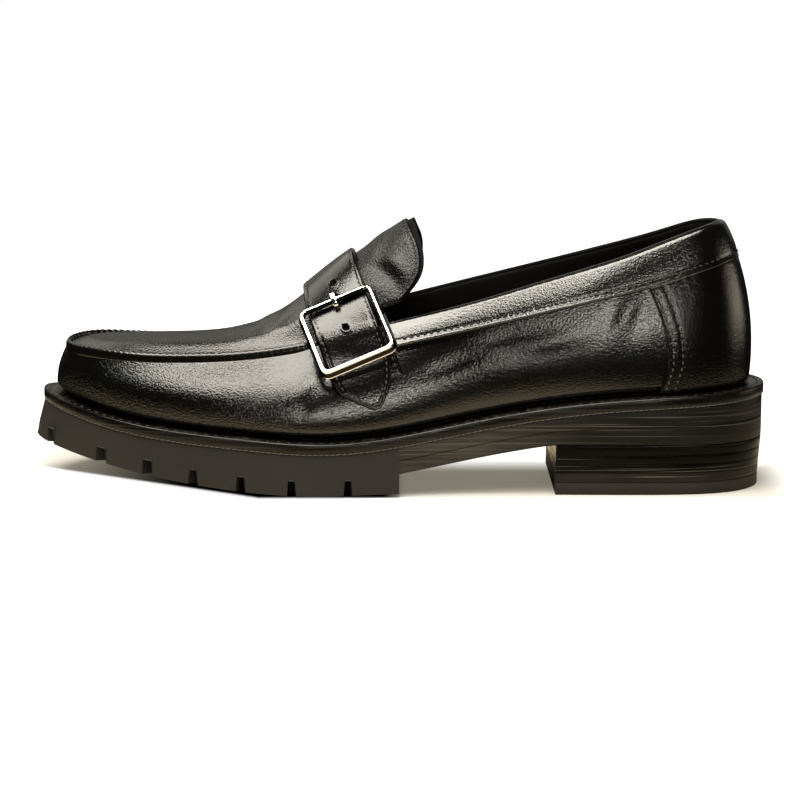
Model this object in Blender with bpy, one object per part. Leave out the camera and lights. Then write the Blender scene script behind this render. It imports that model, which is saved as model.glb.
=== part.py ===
"""Left loafer with a buckled instep strap on a lugged rubber and leather sole.

Toe at -X, heel at +X, outer side with the buckle at -Y, standing on z = 0.
All sizes below are millimetres, and the meshes are made in metres.
"""
import math

import bmesh
import bpy
import numpy as np

MM = 0.001

# Driving sizes
LENGTH = 300.0
HALF_LENGTH = LENGTH / 2
HEEL_RADIUS = 32.0
TOE_RADIUS = 28.2
SPLAY_SLOPE = math.sin(math.radians(3.0))
SPLAY_START = 30.0
CLEARANCE = 0.3

# Plan of the tread edge: distance from the back of the heel, outer and inner half width
PLAN = (
    (12, 25.0, 25.0),
    (30, 33.0, 33.0),
    (60, 36.0, 35.0),
    (100, 37.5, 32.5),
    (130, 40.0, 32.0),
    (160, 46.3, 38.0),
    (185, 51.0, 45.8),
    (210, 52.0, 50.4),
    (230, 50.0, 50.0),
    (255, 43.2, 44.7),
    (275, 33.5, 36.0),
    (290, 21.7, 23.5),
)

# Side view of the sole: x, top of the welt
SEAT = (
    (-150, 38.2), (-120, 30.9), (-90, 26.8), (-60, 24.2), (-30, 22.2), (0, 24.4),
    (30, 29.9), (60, 35.2), (90, 38.5), (120, 40.3), (150, 42.3),
)
WELT_THICKNESS = 4.2
WELT_TOP_BEVEL = 0.8
WELT_LOW_BEVEL = 0.5
LEATHER_SOLE_THICKNESS = 10.8
LEATHER_SOLE_BEVEL = 0.5
TREAD_FLAT_FROM = -32.0
TOE_SPRING = 16.6
TOE_SPRING_POWER = 1.565

# How far the welt and the foot of the upper stand inside the tread edge: x, welt, upper
SETBACK = (
    (-150, 3.3, 9.0), (-110, 1.4, 7.2), (-60, 0.9, 6.6), (20, 0.5, 6.5), (90, 0.2, 6.9), (150, 0.0, 7.9),
)

# Seam and top line: x, outer and inner half width, outer and inner height
TOPLINE_BACK = 131.0
TOPLINE_TOE = -136.5
TOPLINE_MID = (TOPLINE_BACK + TOPLINE_TOE) / 2
TOPLINE_HALF = (TOPLINE_BACK - TOPLINE_TOE) / 2
TOPLINE_BACK_RADIUS = 17.7
TOPLINE_TOE_RADIUS = 22.0
TOPLINE_BACK_HEIGHT = 107.6
TOPLINE_TOE_HEIGHT = 56.4
TOPLINE = (
    (125, 14.5, 14.5, 106.8, 106.5),
    (109, 20.2, 20.2, 101.6, 101.4),
    (90, 23.2, 23.6, 94.6, 95.6),
    (60, 26.2, 27.0, 85.5, 87.2),
    (30, 27.2, 28.0, 76.4, 79.4),
    (0, 26.9, 27.8, 68.8, 71.8),
    (-37, 30.6, 31.5, 60.5, 62.0),
    (-60, 32.2, 33.0, 57.1, 56.9),
    (-80, 32.3, 33.0, 55.9, 54.3),
    (-100, 30.2, 31.1, 55.7, 54.3),
    (-118, 24.0, 25.6, 56.2, 55.7),
    (-128, 17.4, 19.4, 56.3, 56.4),
)

# Wall of the upper: x, outer and inner swell, power of its lean towards the top line
WALL = (
    (-150, 0.4, 0.4, 2.0), (-80, 2.0, 2.0, 2.4), (-50, 2.5, 2.5, 1.9), (-25, 2.8, 3.0, 1.5),
    (0, 3.0, 3.5, 1.4), (30, 2.8, 3.4, 1.6), (60, 2.3, 2.8, 2.0), (100, 1.5, 1.8, 2.4), (150, 1.5, 1.5, 2.5),
)
WALL_THICKNESS = 2.2

# Ridge of the vamp and tongue: x, height on the middle line
RIDGE = (
    (-136.5, 56.2), (-125, 55.8), (-110, 56.2), (-95, 57.0), (-80, 57.8), (-70, 59.0), (-60, 61.8),
    (-50, 66.3), (-40, 73.0), (-30, 81.0), (-20, 88.8), (-10, 95.8), (0, 103.2), (10, 109.0),
)
THROAT_STATION = 25
THROAT_SWEEP = 16.0
THROAT_SWEEP_FROM = -60.0

# Layers over the upper: how far each one's inner and outer faces stand off
APRON_LAYER = (0.5, 1.7)
APRON_EDGE = 2.0
COUNTER_LAYER = (0.3, 1.5)
BAND_LAYER = (0.3, 1.7)
CHAPE_LAYER = (0.3, 1.8)
TONGUE_LAYER = (-0.6, 1.6)
STRAP_LIFT = 2.1
STRAP_LIFT_INNER = 0.3
STRAP_SETTLES = (2.0, 2.4)
STRAP_THICKNESS = 2.4

# Collar band: how far behind the strap's middle plane it starts, where it ends under the top line
BAND_START = 16.4
BAND_TOP = 0.995
BAND_END_FOOT = 0.76
# Depth of the collar band below the top line: x, depth
BAND_DEPTH = ((-10, 10.6), (35, 10.8), (60, 12.0), (90, 13.5), (115, 15.2), (150, 15.4))

# Heel counter: gap to the welt and the band as a share of the wall, and the upper's half length there
COUNTER_FOOT = 0.015
COUNTER_REACH = HALF_LENGTH - 7.0
# Front edge of the heel counter: share of the wall height, x
COUNTER_EDGE = ((0.0, 100.0), (0.25, 103.5), (0.5, 104.0), (0.8, 103.2), (1.0, 102.5))

# Rear edge of the tongue: share of the way from the ridge to the side, x
TONGUE_EDGE = ((0.0, 4.5), (0.4, 7.0), (0.68, 9.6), (0.8, 7.4), (0.9, 0.5))
TONGUE_SPREAD = 0.9

# Strap: its middle plane leans forward over the instep
STRAP_X = -29.0
STRAP_Z = 86.0
STRAP_LEAN = math.radians(22.3)
STRAP_TIP = 0.265
STRAP_END = 2.96
# Place along the girth (0 foot of the outer wall, 1 seam, 2 seam, 3 foot of the inner wall), then the
# strap's reach to the front and to the rear of its middle plane
STRAP_WIDTHS = (
    (0.265, 0.8, 0.8), (0.31, 4.2, 3.4), (0.36, 7.4, 5.2), (0.44, 11.6, 7.9), (0.52, 12.3, 10.0),
    (0.62, 12.6, 11.8), (0.72, 12.8, 12.6), (0.95, 12.8, 12.8), (1.4, 10.4, 14.4), (1.6, 10.4, 14.2),
    (2.0, 12.1, 12.1), (3.0, 12.1, 12.1),
)
# The strap bulges up through the buckle's frame: height, place along the girth, reach
STRAP_BULGE = (2.3, 0.97, 0.16)

# Chape of the buckle: its reach across the strap's plane and along the girth
CHAPE_ACROSS = (-9.0, 15.0)
CHAPE_GIRTH = (0.52, 0.93)

# Buckle, in its own plane: along the strap, across it, and up from it
BUCKLE_GIRTH = 0.915
BUCKLE_CHORD = (0.68, 1.27)
BUCKLE_LONG = 33.0
BUCKLE_WIDE = 33.0
BUCKLE_BAR = 2.8
BUCKLE_TOP_BAR = 2.0
BUCKLE_DEPTH = 3.4
BUCKLE_CORNER = 4.2
BUCKLE_INNER_CORNER = 1.8
BUCKLE_ROUNDING = 0.7
BUCKLE_RISE = 2.4
BUCKLE_TILT = math.radians(7.0)
BUCKLE_TURN = math.radians(2.5)
PRONG_WIDE = 2.3
PRONG_THICK = 1.3
# Prong: place before the buckle's top edge and share of its rise from the strap to the top bar
PRONG_FOOT = 0.6
PRONG_PATH = ((4.2, 0.3), (3.6, 0.7), (2.7, 1.0), (-0.3, 1.0), (-1.4, 0.92))

# Rubber forefoot
RUBBER_REAR = 1.0
RUBBER_TOP_SETBACK = 0.7
# The tread's edge stands off the floor: width and rise of its camber
RUBBER_CAMBER_WIDTH = 9.0
RUBBER_CAMBER_RISE = 1.4
RUBBER_FLARE = (0.25, 0.35)
# Notches between the lugs: x, width at the tread, width at the top
LUG_NOTCHES = (
    (-19.3, 3.5, 2.5), (-41.7, 3.6, 2.5), (-61.9, 3.9, 2.8), (-81.0, 4.1, 2.6), (-99.8, 4.7, 3.6),
    (-119.3, 5.5, 3.8), (-142.0, 4.6, 3.4),
)
LUG_HEIGHT = 7.3
LUG_REACH = 14.0
LUG_OVERRUN = 5.0

# Heel
HEEL_BREAST = 63.5
HEEL_TOP = 20.3
TOP_LIFT_HEIGHT = 5.0
TOP_LIFT_BEVEL = 0.6
HEEL_LIFTS = 4
HEEL_SETBACK_TOP = 0.6
HEEL_SETBACK_LOW = 1.8
LIFT_GAP = 0.2
INSOLE_THICKNESS = 3.2
INSOLE_SETBACK = 3.2


def spline(x, knots, values, flat_ends=False):
    """Cubic spline through the rows; with flat ends its slope is nil at both ends."""
    knots = np.asarray(knots, float)
    values = np.asarray(values, float)
    step = np.diff(knots)
    rise = np.diff(values) / step
    count = len(knots)
    system = np.eye(count)
    right = np.zeros(count)
    for i in range(1, count - 1):
        system[i, i - 1:i + 2] = step[i - 1], 2 * (step[i - 1] + step[i]), step[i]
        right[i] = 6 * (rise[i] - rise[i - 1])
    if flat_ends:
        system[0, :2] = 2 * step[0], step[0]
        system[-1, -2:] = step[-1], 2 * step[-1]
        right[0] = 6 * rise[0]
        right[-1] = -6 * rise[-1]
    bend = np.linalg.solve(system, right)
    x = np.clip(np.asarray(x, float), knots[0], knots[-1])
    i = np.clip(np.searchsorted(knots, x) - 1, 0, count - 2)
    u = (x - knots[i]) / step[i]
    low = 1 - u
    curve = (low ** 3 - low) * bend[i] + (u ** 3 - u) * bend[i + 1]
    return low * values[i] + u * values[i + 1] + step[i] ** 2 / 6 * curve


def column(table, place):
    return [row[place] for row in table]


def seat(x):
    """Height of the top of the welt."""
    return spline(x, column(SEAT, 0), column(SEAT, 1))


def tread(x):
    """Height of the tread: flat under the ball, rising to the toe."""
    reach = -HALF_LENGTH - TREAD_FLAT_FROM
    share = np.clip((x - TREAD_FLAT_FROM) / reach, 0, 1)
    return TOE_SPRING * share ** TOE_SPRING_POWER


def axis_y(x):
    """Middle line of the plan, splayed inwards from heel to toe."""
    return (HALF_LENGTH - SPLAY_START - x) * SPLAY_SLOPE


def widths(angle, table, place, half, mid, first_radius, last_radius):
    """Half width over sin(angle), from a table of half widths and the round ends."""
    x = np.array(column(table, 0), float)
    turn = np.arccos((x - mid) / half)
    ratio = np.array(column(table, place)) / np.sin(turn)
    order = np.argsort(turn)
    knots = np.concatenate(([0.0], turn[order], [math.pi]))
    ends = math.sqrt(first_radius * half), math.sqrt(last_radius * half)
    values = np.concatenate(([ends[0]], ratio[order], [ends[1]]))
    return spline(angle, knots, values, flat_ends=True)


PLAN_BY_X = [(HALF_LENGTH - row[0], row[1], row[2]) for row in PLAN]


def fold(theta):
    """Angle from the heel on either side, and whether it is the outer side."""
    theta = np.mod(theta, 2 * math.pi)
    outer = theta <= math.pi
    return np.where(outer, theta, 2 * math.pi - theta), outer


def bare_rim(theta):
    """Plan of the tread edge by angle: heel 0, outer side first, toe pi."""
    angle, outer = fold(theta)
    ends = HALF_LENGTH, 0.0, HEEL_RADIUS, TOE_RADIUS
    wide = np.where(outer, widths(angle, PLAN_BY_X, 1, *ends), widths(angle, PLAN_BY_X, 2, *ends))
    x = HALF_LENGTH * np.cos(theta)
    return np.stack([x, axis_y(x) - wide * np.sin(theta)], -1)


RIM_SAMPLES = bare_rim(np.linspace(0, 2 * math.pi, 721))
CENTRE_Y = (RIM_SAMPLES[:, 1].min() + RIM_SAMPLES[:, 1].max()) / 2


def rim_normal(theta):
    """Outward normal of the plan."""
    small = 1e-3
    along = bare_rim(theta + small) - bare_rim(theta - small)
    out = np.stack([-along[..., 1], along[..., 0]], -1)
    return out / np.linalg.norm(out, axis=-1, keepdims=True)


def rim(theta, setback):
    """Plan of the tread edge moved inwards, with the shoe's width centred on y = 0."""
    shift = np.array([0.0, CENTRE_Y])
    return bare_rim(theta) - shift - rim_normal(theta) * np.asarray(setback)[..., None]


def welt_setback(x):
    return np.interp(x, column(SETBACK, 0), column(SETBACK, 1))


def upper_setback(x):
    return spline(x, column(SETBACK, 0), column(SETBACK, 2))


def feather(theta):
    """Foot of the upper, where it stands on the welt."""
    x = HALF_LENGTH * np.cos(theta)
    plan = rim(theta, upper_setback(x))
    return np.concatenate([plan, (seat(plan[..., 0]) + CLEARANCE)[..., None]], -1)


def topline(theta):
    """Seam of the apron in front and top line of the collar behind, as one loop."""
    angle, outer = fold(theta)
    ends = TOPLINE_HALF, TOPLINE_MID, TOPLINE_BACK_RADIUS, TOPLINE_TOE_RADIUS
    wide = np.where(outer, widths(angle, TOPLINE, 1, *ends), widths(angle, TOPLINE, 2, *ends))
    turn = np.arccos((np.array(column(TOPLINE, 0)) - TOPLINE_MID) / TOPLINE_HALF)
    knots = np.concatenate(([0.0], turn, [math.pi]))
    outer_rows = [TOPLINE_BACK_HEIGHT] + column(TOPLINE, 3) + [TOPLINE_TOE_HEIGHT]
    inner_rows = [TOPLINE_BACK_HEIGHT] + column(TOPLINE, 4) + [TOPLINE_TOE_HEIGHT]
    height = np.where(outer, spline(angle, knots, outer_rows, True), spline(angle, knots, inner_rows, True))
    x = TOPLINE_MID + TOPLINE_HALF * np.cos(theta)
    return np.stack([x, axis_y(x) - CENTRE_Y - wide * np.sin(theta), height], -1)


def wall(theta, t):
    """Wall of the upper: t = 0 at the welt, 1 at the seam or top line.

    The plan leans in by a power of t, swells out by a half wave of t ** 0.75, and the height grows with t.
    """
    x = HALF_LENGTH * np.cos(theta)
    outer = fold(theta)[1]
    stations = column(WALL, 0)
    swell = np.where(outer, spline(x, stations, column(WALL, 1)), spline(x, stations, column(WALL, 2)))
    share = t ** spline(x, stations, column(WALL, 3))
    low = feather(theta)
    high = topline(theta)
    plan = low[..., :2] + (high - low)[..., :2] * share[..., None]
    plan = plan + rim_normal(theta) * (swell * np.sin(math.pi * t ** 0.75))[..., None]
    height = low[..., 2] + (high - low)[..., 2] * t
    return np.concatenate([plan, height[..., None]], -1)


def instep(x, v):
    """Vamp and tongue: v = 0 at the outer seam, 1 at the inner one, a parabola up to the ridge between."""
    angle = np.arccos(np.clip((x - TOPLINE_MID) / TOPLINE_HALF, -1, 1))
    outer = topline(angle)
    inner = topline(2 * math.pi - angle)
    flat = outer + (inner - outer) * v[..., None]
    crown = spline(x, column(RIDGE, 0), column(RIDGE, 1)) - (outer[..., 2] + inner[..., 2]) / 2
    lift = crown * (1 - (2 * v - 1) ** 2)
    return np.stack([x, flat[..., 1], flat[..., 2] + lift], -1)


def throat_sweep(x):
    """How far a row across the vamp runs forward at the ridge."""
    end = TOPLINE_MID + TOPLINE_HALF * math.cos(THROAT_STATION * STATION_STEP)
    share = np.clip((x - THROAT_SWEEP_FROM) / (end - THROAT_SWEEP_FROM), 0, 1)
    return THROAT_SWEEP * share ** 2 * (3 - 2 * share)


RING = 96
STATION_STEP = 2 * math.pi / RING
WALL_ROWS = 7
VAMP_COLUMNS = 12


def body(x, girth):
    """Outside of the upper at a station x.

    The girth runs from 0 to 1 up the outer wall, to 2 over the vamp, and to 3 down the inner wall.
    """
    t = np.clip(np.where(girth < 1.5, girth, 3 - girth), 0, 1)
    share = t ** spline(x, column(WALL, 0), column(WALL, 3))
    reach = (HALF_LENGTH - upper_setback(x)) * (1 - share) + TOPLINE_HALF * share
    angle = np.arccos(np.clip((x - TOPLINE_MID * share) / reach, -1, 1))
    theta = np.where(girth < 1.5, angle, 2 * math.pi - angle)
    over = instep(x, np.clip(girth - 1, 0, 1))
    on_vamp = ((girth > 1) & (girth < 2))[..., None]
    return np.where(on_vamp, over, wall(theta, t))


def strap_ground(across, girth):
    """Upper's surface under the strap: the station whose point lies `across` off the strap's middle plane."""
    lean = np.array([math.cos(STRAP_LEAN), 0.0, math.sin(STRAP_LEAN)])
    origin = np.array([STRAP_X, 0.0, STRAP_Z])
    x = np.full(np.shape(girth), STRAP_X)
    for _ in range(30):
        point = body(x, girth)
        x = x - 0.7 * ((point - origin) @ lean - across)
    return body(x, girth)


def normals(grid):
    """Unit normals of a grid of points, from its two directions."""
    first = np.gradient(grid, axis=0)
    second = np.gradient(grid, axis=1)
    out = np.cross(first, second)
    return out / np.maximum(np.linalg.norm(out, axis=-1, keepdims=True), 1e-9)


def paint(name, colour, roughness, metallic=0.0):
    material = bpy.data.materials.new(name)
    material.use_nodes = True
    shader = material.node_tree.nodes["Principled BSDF"]
    shader.inputs["Base Color"].default_value = (*colour, 1.0)
    shader.inputs["Roughness"].default_value = roughness
    shader.inputs["Metallic"].default_value = metallic
    return material


def mesh_object(name, points, faces, material, closed=True):
    """Object from points in millimetres; doubles are merged, and a closed body is turned outwards."""
    mesh = bpy.data.meshes.new(name)
    mesh.from_pydata((np.asarray(points) * MM).tolist(), [], [tuple(int(i) for i in f) for f in faces])
    shape = bmesh.new()
    shape.from_mesh(mesh)
    bmesh.ops.remove_doubles(shape, verts=shape.verts, dist=1e-6)
    if closed:
        bmesh.ops.recalc_face_normals(shape, faces=shape.faces)
    shape.to_mesh(mesh)
    shape.free()
    mesh.shade_smooth()
    mesh.set_sharp_from_angle(angle=math.radians(35))
    mesh.materials.append(material)
    item = bpy.data.objects.new(name, mesh)
    bpy.context.collection.objects.link(item)
    return item


def grid_faces(rows, columns, start=0):
    index = np.arange(rows * columns).reshape(rows, columns) + start
    return np.stack([index[:-1, :-1], index[:-1, 1:], index[1:, 1:], index[1:, :-1]], -1).reshape(-1, 4)


def sheet_solid(name, low, high, material):
    """Closed plate between two grids of the same size."""
    rows, columns = low.shape[:2]
    count = rows * columns
    index = np.arange(count).reshape(rows, columns)
    border = np.concatenate([index[0], index[1:, -1], index[-1, -2::-1], index[-2:0:-1, 0]])
    after = np.roll(border, -1)
    edge = np.stack([border, after, after + count, border + count], -1)
    faces = np.concatenate([grid_faces(rows, columns)[:, ::-1], grid_faces(rows, columns, count), edge])
    points = np.concatenate([low.reshape(-1, 3), high.reshape(-1, 3)])
    return mesh_object(name, points, faces, material)


def plate_on(name, grid, layer, material):
    """Overlay: a plate between two offsets of a grid on the upper's outside."""
    out = normals(grid)
    return sheet_solid(name, grid + out * layer[0], grid + out * layer[1], material)


def edge_y(x, setback, outer):
    """Side of the plan at stations x for one setback."""
    theta = np.linspace(0, math.pi, 361)
    plan = rim(theta if outer else 2 * math.pi - theta, setback(HALF_LENGTH * np.cos(theta)))
    return np.interp(x, plan[::-1, 0], plan[::-1, 1])


def slab(name, levels, count, material, rear=None, front=None):
    """Closed slab: each level gives a setback and a height, both as functions of x.

    A slab with a rear or a front x is cut square there; otherwise it runs to the round end.
    """
    u = np.linspace(0, 1, count + 1)
    if rear is None and front is None:
        share = (1 - np.cos(math.pi * u)) / 2
    elif rear is None:
        share = 1 - np.cos(math.pi / 2 * u)
    else:
        share = np.sin(math.pi / 2 * u)
    points = []
    for setback, height in levels:
        ends = rim(np.array([0.0, math.pi]), setback(np.array([HALF_LENGTH, -HALF_LENGTH])))
        first = ends[0, 0] if rear is None else rear
        last = ends[1, 0] if front is None else front
        x = first + (last - first) * share
        sides = [edge_y(x, setback, True), edge_y(x, setback, False)]
        middle = (sides[0] + sides[1]) / 2
        if rear is None:
            sides[0][0] = sides[1][0] = middle[0]
        if front is None:
            sides[0][-1] = sides[1][-1] = middle[-1]
        points += [np.stack([x, side, height(x)], -1) for side in sides]
    points = np.array(points).reshape(len(levels), 2, count + 1, 3)
    index = np.arange(points.size // 3).reshape(len(levels), 2, count + 1)
    faces = []
    for side in (0, 1):
        ring = index[:, side]
        corners = ring[:-1, :-1], ring[:-1, 1:], ring[1:, 1:], ring[1:, :-1]
        faces.append(np.stack(corners, -1).reshape(-1, 4))
    for level in (0, -1):
        near, far = index[level]
        faces.append(np.stack([near[:-1], near[1:], far[1:], far[:-1]], -1))
    for end, cut in ((0, rear), (-1, front)):
        if cut is not None:
            near, far = index[:, 0, end], index[:, 1, end]
            faces.append(np.stack([near[:-1], near[1:], far[1:], far[:-1]], -1))
    return mesh_object(name, points.reshape(-1, 3), np.concatenate(faces), material)


def shifted(function, amount):
    return lambda x: function(x) + amount


def even(amount):
    return lambda x: np.full(np.shape(x), float(amount))


def blend(low, high, share):
    return lambda x: low(x) + (high(x) - low(x)) * share


def make_welt(material):
    low = shifted(seat, -WELT_THICKNESS)
    levels = [(shifted(welt_setback, WELT_LOW_BEVEL), low), (welt_setback, shifted(low, WELT_LOW_BEVEL)),
              (welt_setback, shifted(seat, -WELT_TOP_BEVEL)), (shifted(welt_setback, WELT_TOP_BEVEL), seat)]
    return slab("welt", levels, 44, material)


def rubber_top(x):
    return seat(x) - WELT_THICKNESS - CLEARANCE


def make_rubber(material):
    """Rubber forefoot: its side flares out to the tread edge, and notches cut the lugs apart."""
    high = shifted(welt_setback, RUBBER_TOP_SETBACK)
    inwards, upwards = RUBBER_FLARE
    levels = [(even(RUBBER_CAMBER_WIDTH), tread), (even(0.0), shifted(tread, RUBBER_CAMBER_RISE)),
              (blend(even(0.0), high, inwards), blend(tread, rubber_top, upwards)), (high, rubber_top)]
    rubber = slab("outsole_forefoot", levels, 34, material, rear=RUBBER_REAR)
    cutter = lug_cutter(material)
    cut = rubber.modifiers.new("lugs", "BOOLEAN")
    cut.operation = "DIFFERENCE"
    cut.solver = "EXACT"
    cut.object = cutter
    return rubber


def lug_cutter(material):
    """Wedges square to the tread edge at each station, on both sides."""
    points = []
    faces = []
    corners = ((0, 1, 3, 2), (4, 6, 7, 5), (0, 4, 5, 1), (2, 3, 7, 6), (0, 2, 6, 4), (1, 5, 7, 3))
    outer = [math.acos(row[0] / HALF_LENGTH) for row in LUG_NOTCHES]
    inner = [2 * math.pi - turn for turn in outer]
    for turn, (_, low, high) in zip(outer + inner, LUG_NOTCHES + LUG_NOTCHES):
        slope = (low - high) / 2 / LUG_HEIGHT
        middle = rim(turn, 0.0)
        out = rim_normal(turn)
        along = np.array([-out[1], out[0]])
        base = float(tread(middle[0]))
        start = len(points)
        for reach in (-LUG_REACH, LUG_OVERRUN):
            for rise in (-LUG_OVERRUN, LUG_HEIGHT):
                half = high / 2 + slope * (LUG_HEIGHT - rise)
                for way in (-1, 1):
                    spot = middle + out * reach + along * half * way
                    points.append((spot[0], spot[1], base + rise))
        faces += [tuple(start + i for i in corner) for corner in corners]
    cutter = mesh_object("lug_cutter", points, faces, material)
    cutter.hide_render = True
    cutter.display_type = "WIRE"
    return cutter


def leather_bottom(x):
    """Underside of the leather board: even along the waist, then level over the heel."""
    return np.minimum(seat(x) - WELT_THICKNESS - CLEARANCE - LEATHER_SOLE_THICKNESS, HEEL_TOP)


def make_leather_sole(material):
    high = shifted(welt_setback, HEEL_SETBACK_TOP)
    top = shifted(seat, -WELT_THICKNESS - CLEARANCE)
    levels = [(shifted(high, LEATHER_SOLE_BEVEL), leather_bottom),
              (high, shifted(leather_bottom, LEATHER_SOLE_BEVEL)), (high, top)]
    return slab("sole_leather", levels, 30, material, front=RUBBER_REAR + CLEARANCE)


def make_heel(leather, rubber):
    """Leather lifts shared out between the seat board and the rubber top lift."""
    top = shifted(leather_bottom, -LIFT_GAP)
    low = even(TOP_LIFT_HEIGHT)
    drop = HEEL_SETBACK_LOW - HEEL_SETBACK_TOP
    for number in range(HEEL_LIFTS):
        share_high = 1 - number / HEEL_LIFTS
        share_low = share_high - 1 / HEEL_LIFTS
        faces = []
        for share, gap in ((share_low, LIFT_GAP), (share_high, 0.0)):
            setback = even(HEEL_SETBACK_LOW - drop * share)
            faces.append((setback, shifted(blend(low, top, share), gap)))
        slab(f"heel_lift_{number + 1}", faces, 18, leather, front=HEEL_BREAST)
    side = even(HEEL_SETBACK_LOW)
    levels = [(shifted(side, TOP_LIFT_BEVEL), even(0.0)), (side, even(TOP_LIFT_BEVEL)),
              (side, even(TOP_LIFT_HEIGHT))]
    slab("heel_top_lift", levels, 18, rubber, front=HEEL_BREAST)


def make_insole(material):
    inside = shifted(upper_setback, INSOLE_SETBACK)
    low = shifted(seat, CLEARANCE)
    return slab("insole", [(inside, low), (inside, shifted(low, INSOLE_THICKNESS))], 36, material)


def make_upper(material):
    """Hollow wall: a ring from welt to top line, closed by the vamp in front of the throat."""
    theta = np.arange(RING) * STATION_STEP
    t = np.linspace(0, 1, WALL_ROWS + 1)
    ring = wall(*np.meshgrid(theta, t, indexing="ij"))
    index = np.arange(RING * (WALL_ROWS + 1)).reshape(RING, WALL_ROWS + 1)
    after = np.roll(index, -1, axis=0)
    ring_faces = np.stack([index[:, :-1], index[:, 1:], after[:, 1:], after[:, :-1]], -1).reshape(-1, 4)
    angles = theta[THROAT_STATION:RING // 2 + 1]
    v = np.linspace(0, 1, VAMP_COLUMNS + 1)
    along, cross = np.meshgrid(TOPLINE_MID + TOPLINE_HALF * np.cos(angles), v, indexing="ij")
    vamp = instep(along - throat_sweep(along) * 4 * cross * (1 - cross), cross)
    vamp_faces = grid_faces(len(angles), len(v), index.size)
    points = np.concatenate([ring.reshape(-1, 3), vamp.reshape(-1, 3)])
    upper = mesh_object("upper", points, np.concatenate([ring_faces, vamp_faces]), material, closed=False)
    thick = upper.modifiers.new("leather", "SOLIDIFY")
    thick.thickness = WALL_THICKNESS * MM
    thick.offset = -1
    return upper


def make_apron(material):
    """Plug on the vamp, a little inside its seam, up to the throat under the strap."""
    angles = np.arange(THROAT_STATION, RING // 2 + 1) * STATION_STEP
    sides = []
    for turn in (angles, 2 * math.pi - angles):
        small = 1e-3
        along = topline(turn + small) - topline(turn - small)
        out = np.stack([-along[:, 1], along[:, 0]], -1)
        out /= np.linalg.norm(out, axis=-1, keepdims=True)
        spot = topline(turn)[:, :2] - out * APRON_EDGE
        turned = np.arccos(np.clip((spot[:, 0] - TOPLINE_MID) / TOPLINE_HALF, -1, 1))
        near = topline(turned)[:, 1]
        far = topline(2 * math.pi - turned)[:, 1]
        sides.append((spot[:, 0], (spot[:, 1] - near) / (far - near)))
    share = np.linspace(0, 1, VAMP_COLUMNS + 1)
    x = sides[0][0][:, None] + (sides[1][0] - sides[0][0])[:, None] * share
    v = sides[0][1][:, None] + (sides[1][1] - sides[0][1])[:, None] * share
    x = x - throat_sweep(x) * 4 * v * (1 - v)
    grid = instep(x, v)
    out = np.zeros(grid.shape)
    out[:-1] = normals(grid)[:-1]
    out *= np.sign(out[..., 2:])
    out[-1] = out[-2].mean(axis=0) / np.linalg.norm(out[-2].mean(axis=0))
    return sheet_solid("apron", grid + out * APRON_LAYER[0], grid + out * APRON_LAYER[1], material)


def make_tongue(material):
    """Flap that carries the vamp's arch on behind the throat to a free rear edge."""
    v = np.linspace((1 - TONGUE_SPREAD) / 2, (1 + TONGUE_SPREAD) / 2, 17)
    corner = TOPLINE_MID + TOPLINE_HALF * math.cos(THROAT_STATION * STATION_STEP)
    first = corner - THROAT_SWEEP * 4 * v * (1 - v) + 2 * CLEARANCE
    last = spline(np.abs(2 * v - 1), column(TONGUE_EDGE, 0), column(TONGUE_EDGE, 1))
    share = np.linspace(0, 1, 9)
    x = first[None] + (last - first)[None] * share[:, None]
    return plate_on("tongue", instep(x, np.broadcast_to(v, x.shape)), TONGUE_LAYER, material)


def plane_angle(across, t, outer):
    """Angle round the ring at which the wall meets a plane parallel to the strap."""
    lean = np.array([math.cos(STRAP_LEAN), 0.0, math.sin(STRAP_LEAN)])
    origin = np.array([STRAP_X, 0.0, STRAP_Z])
    angle = np.full(np.shape(t), math.pi / 2)
    for _ in range(30):
        point = wall(angle if outer else 2 * math.pi - angle, t)
        angle = angle + ((point - origin) @ lean - across) / HALF_LENGTH
    return angle


def band_foot(theta):
    """Share of the wall height where the collar band starts."""
    low, high = feather(theta), topline(theta)
    depth = spline(high[..., 0], column(BAND_DEPTH, 0), column(BAND_DEPTH, 1))
    return 1 - depth / (high - low)[..., 2]


def make_band(material):
    """Strip along the top line, from the buckle round the heel to the strap's inner side."""
    share = np.linspace(0, 1, 49)[:, None]
    up = np.linspace(0, 1, 4)[None]
    ends = np.linspace(BAND_END_FOOT, BAND_TOP, 4)
    first = plane_angle(BAND_START, ends, True)[None]
    last = -plane_angle(BAND_START, ends, False)[None]
    theta = first + (last - first) * share
    foot = band_foot(theta)
    t = foot + (BAND_TOP - foot) * up
    return plate_on("collar_band", wall(theta, t), BAND_LAYER, material)


def make_counter(material):
    """Stiffener round the back, from the welt to the collar band."""
    up = np.linspace(0, 1, 7)
    edge = np.interp(up, column(COUNTER_EDGE, 0), column(COUNTER_EDGE, 1))
    span = np.linspace(1, -1, 25)[:, None]
    theta = np.arccos(edge / COUNTER_REACH)[None] * span
    t = COUNTER_FOOT + (band_foot(theta) - 2 * COUNTER_FOOT) * up[None]
    return plate_on("heel_counter", wall(theta, t), COUNTER_LAYER, material)


def strap_grid(rows, columns):
    girth = np.concatenate([np.linspace(STRAP_TIP, 1, 3 * rows // 8), np.linspace(1, 2, 3 * rows // 8)[1:],
                            np.linspace(2, STRAP_END, 2 * rows // 8)[1:]])
    front, rear = (np.interp(girth, column(STRAP_WIDTHS, 0), column(STRAP_WIDTHS, i)) for i in (1, 2))
    share = np.linspace(-1, 1, columns)[None]
    across = np.where(share < 0, front[:, None] * share, rear[:, None] * share)
    girth = np.broadcast_to(girth[:, None], across.shape)
    return girth, strap_ground(across, girth)


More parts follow.
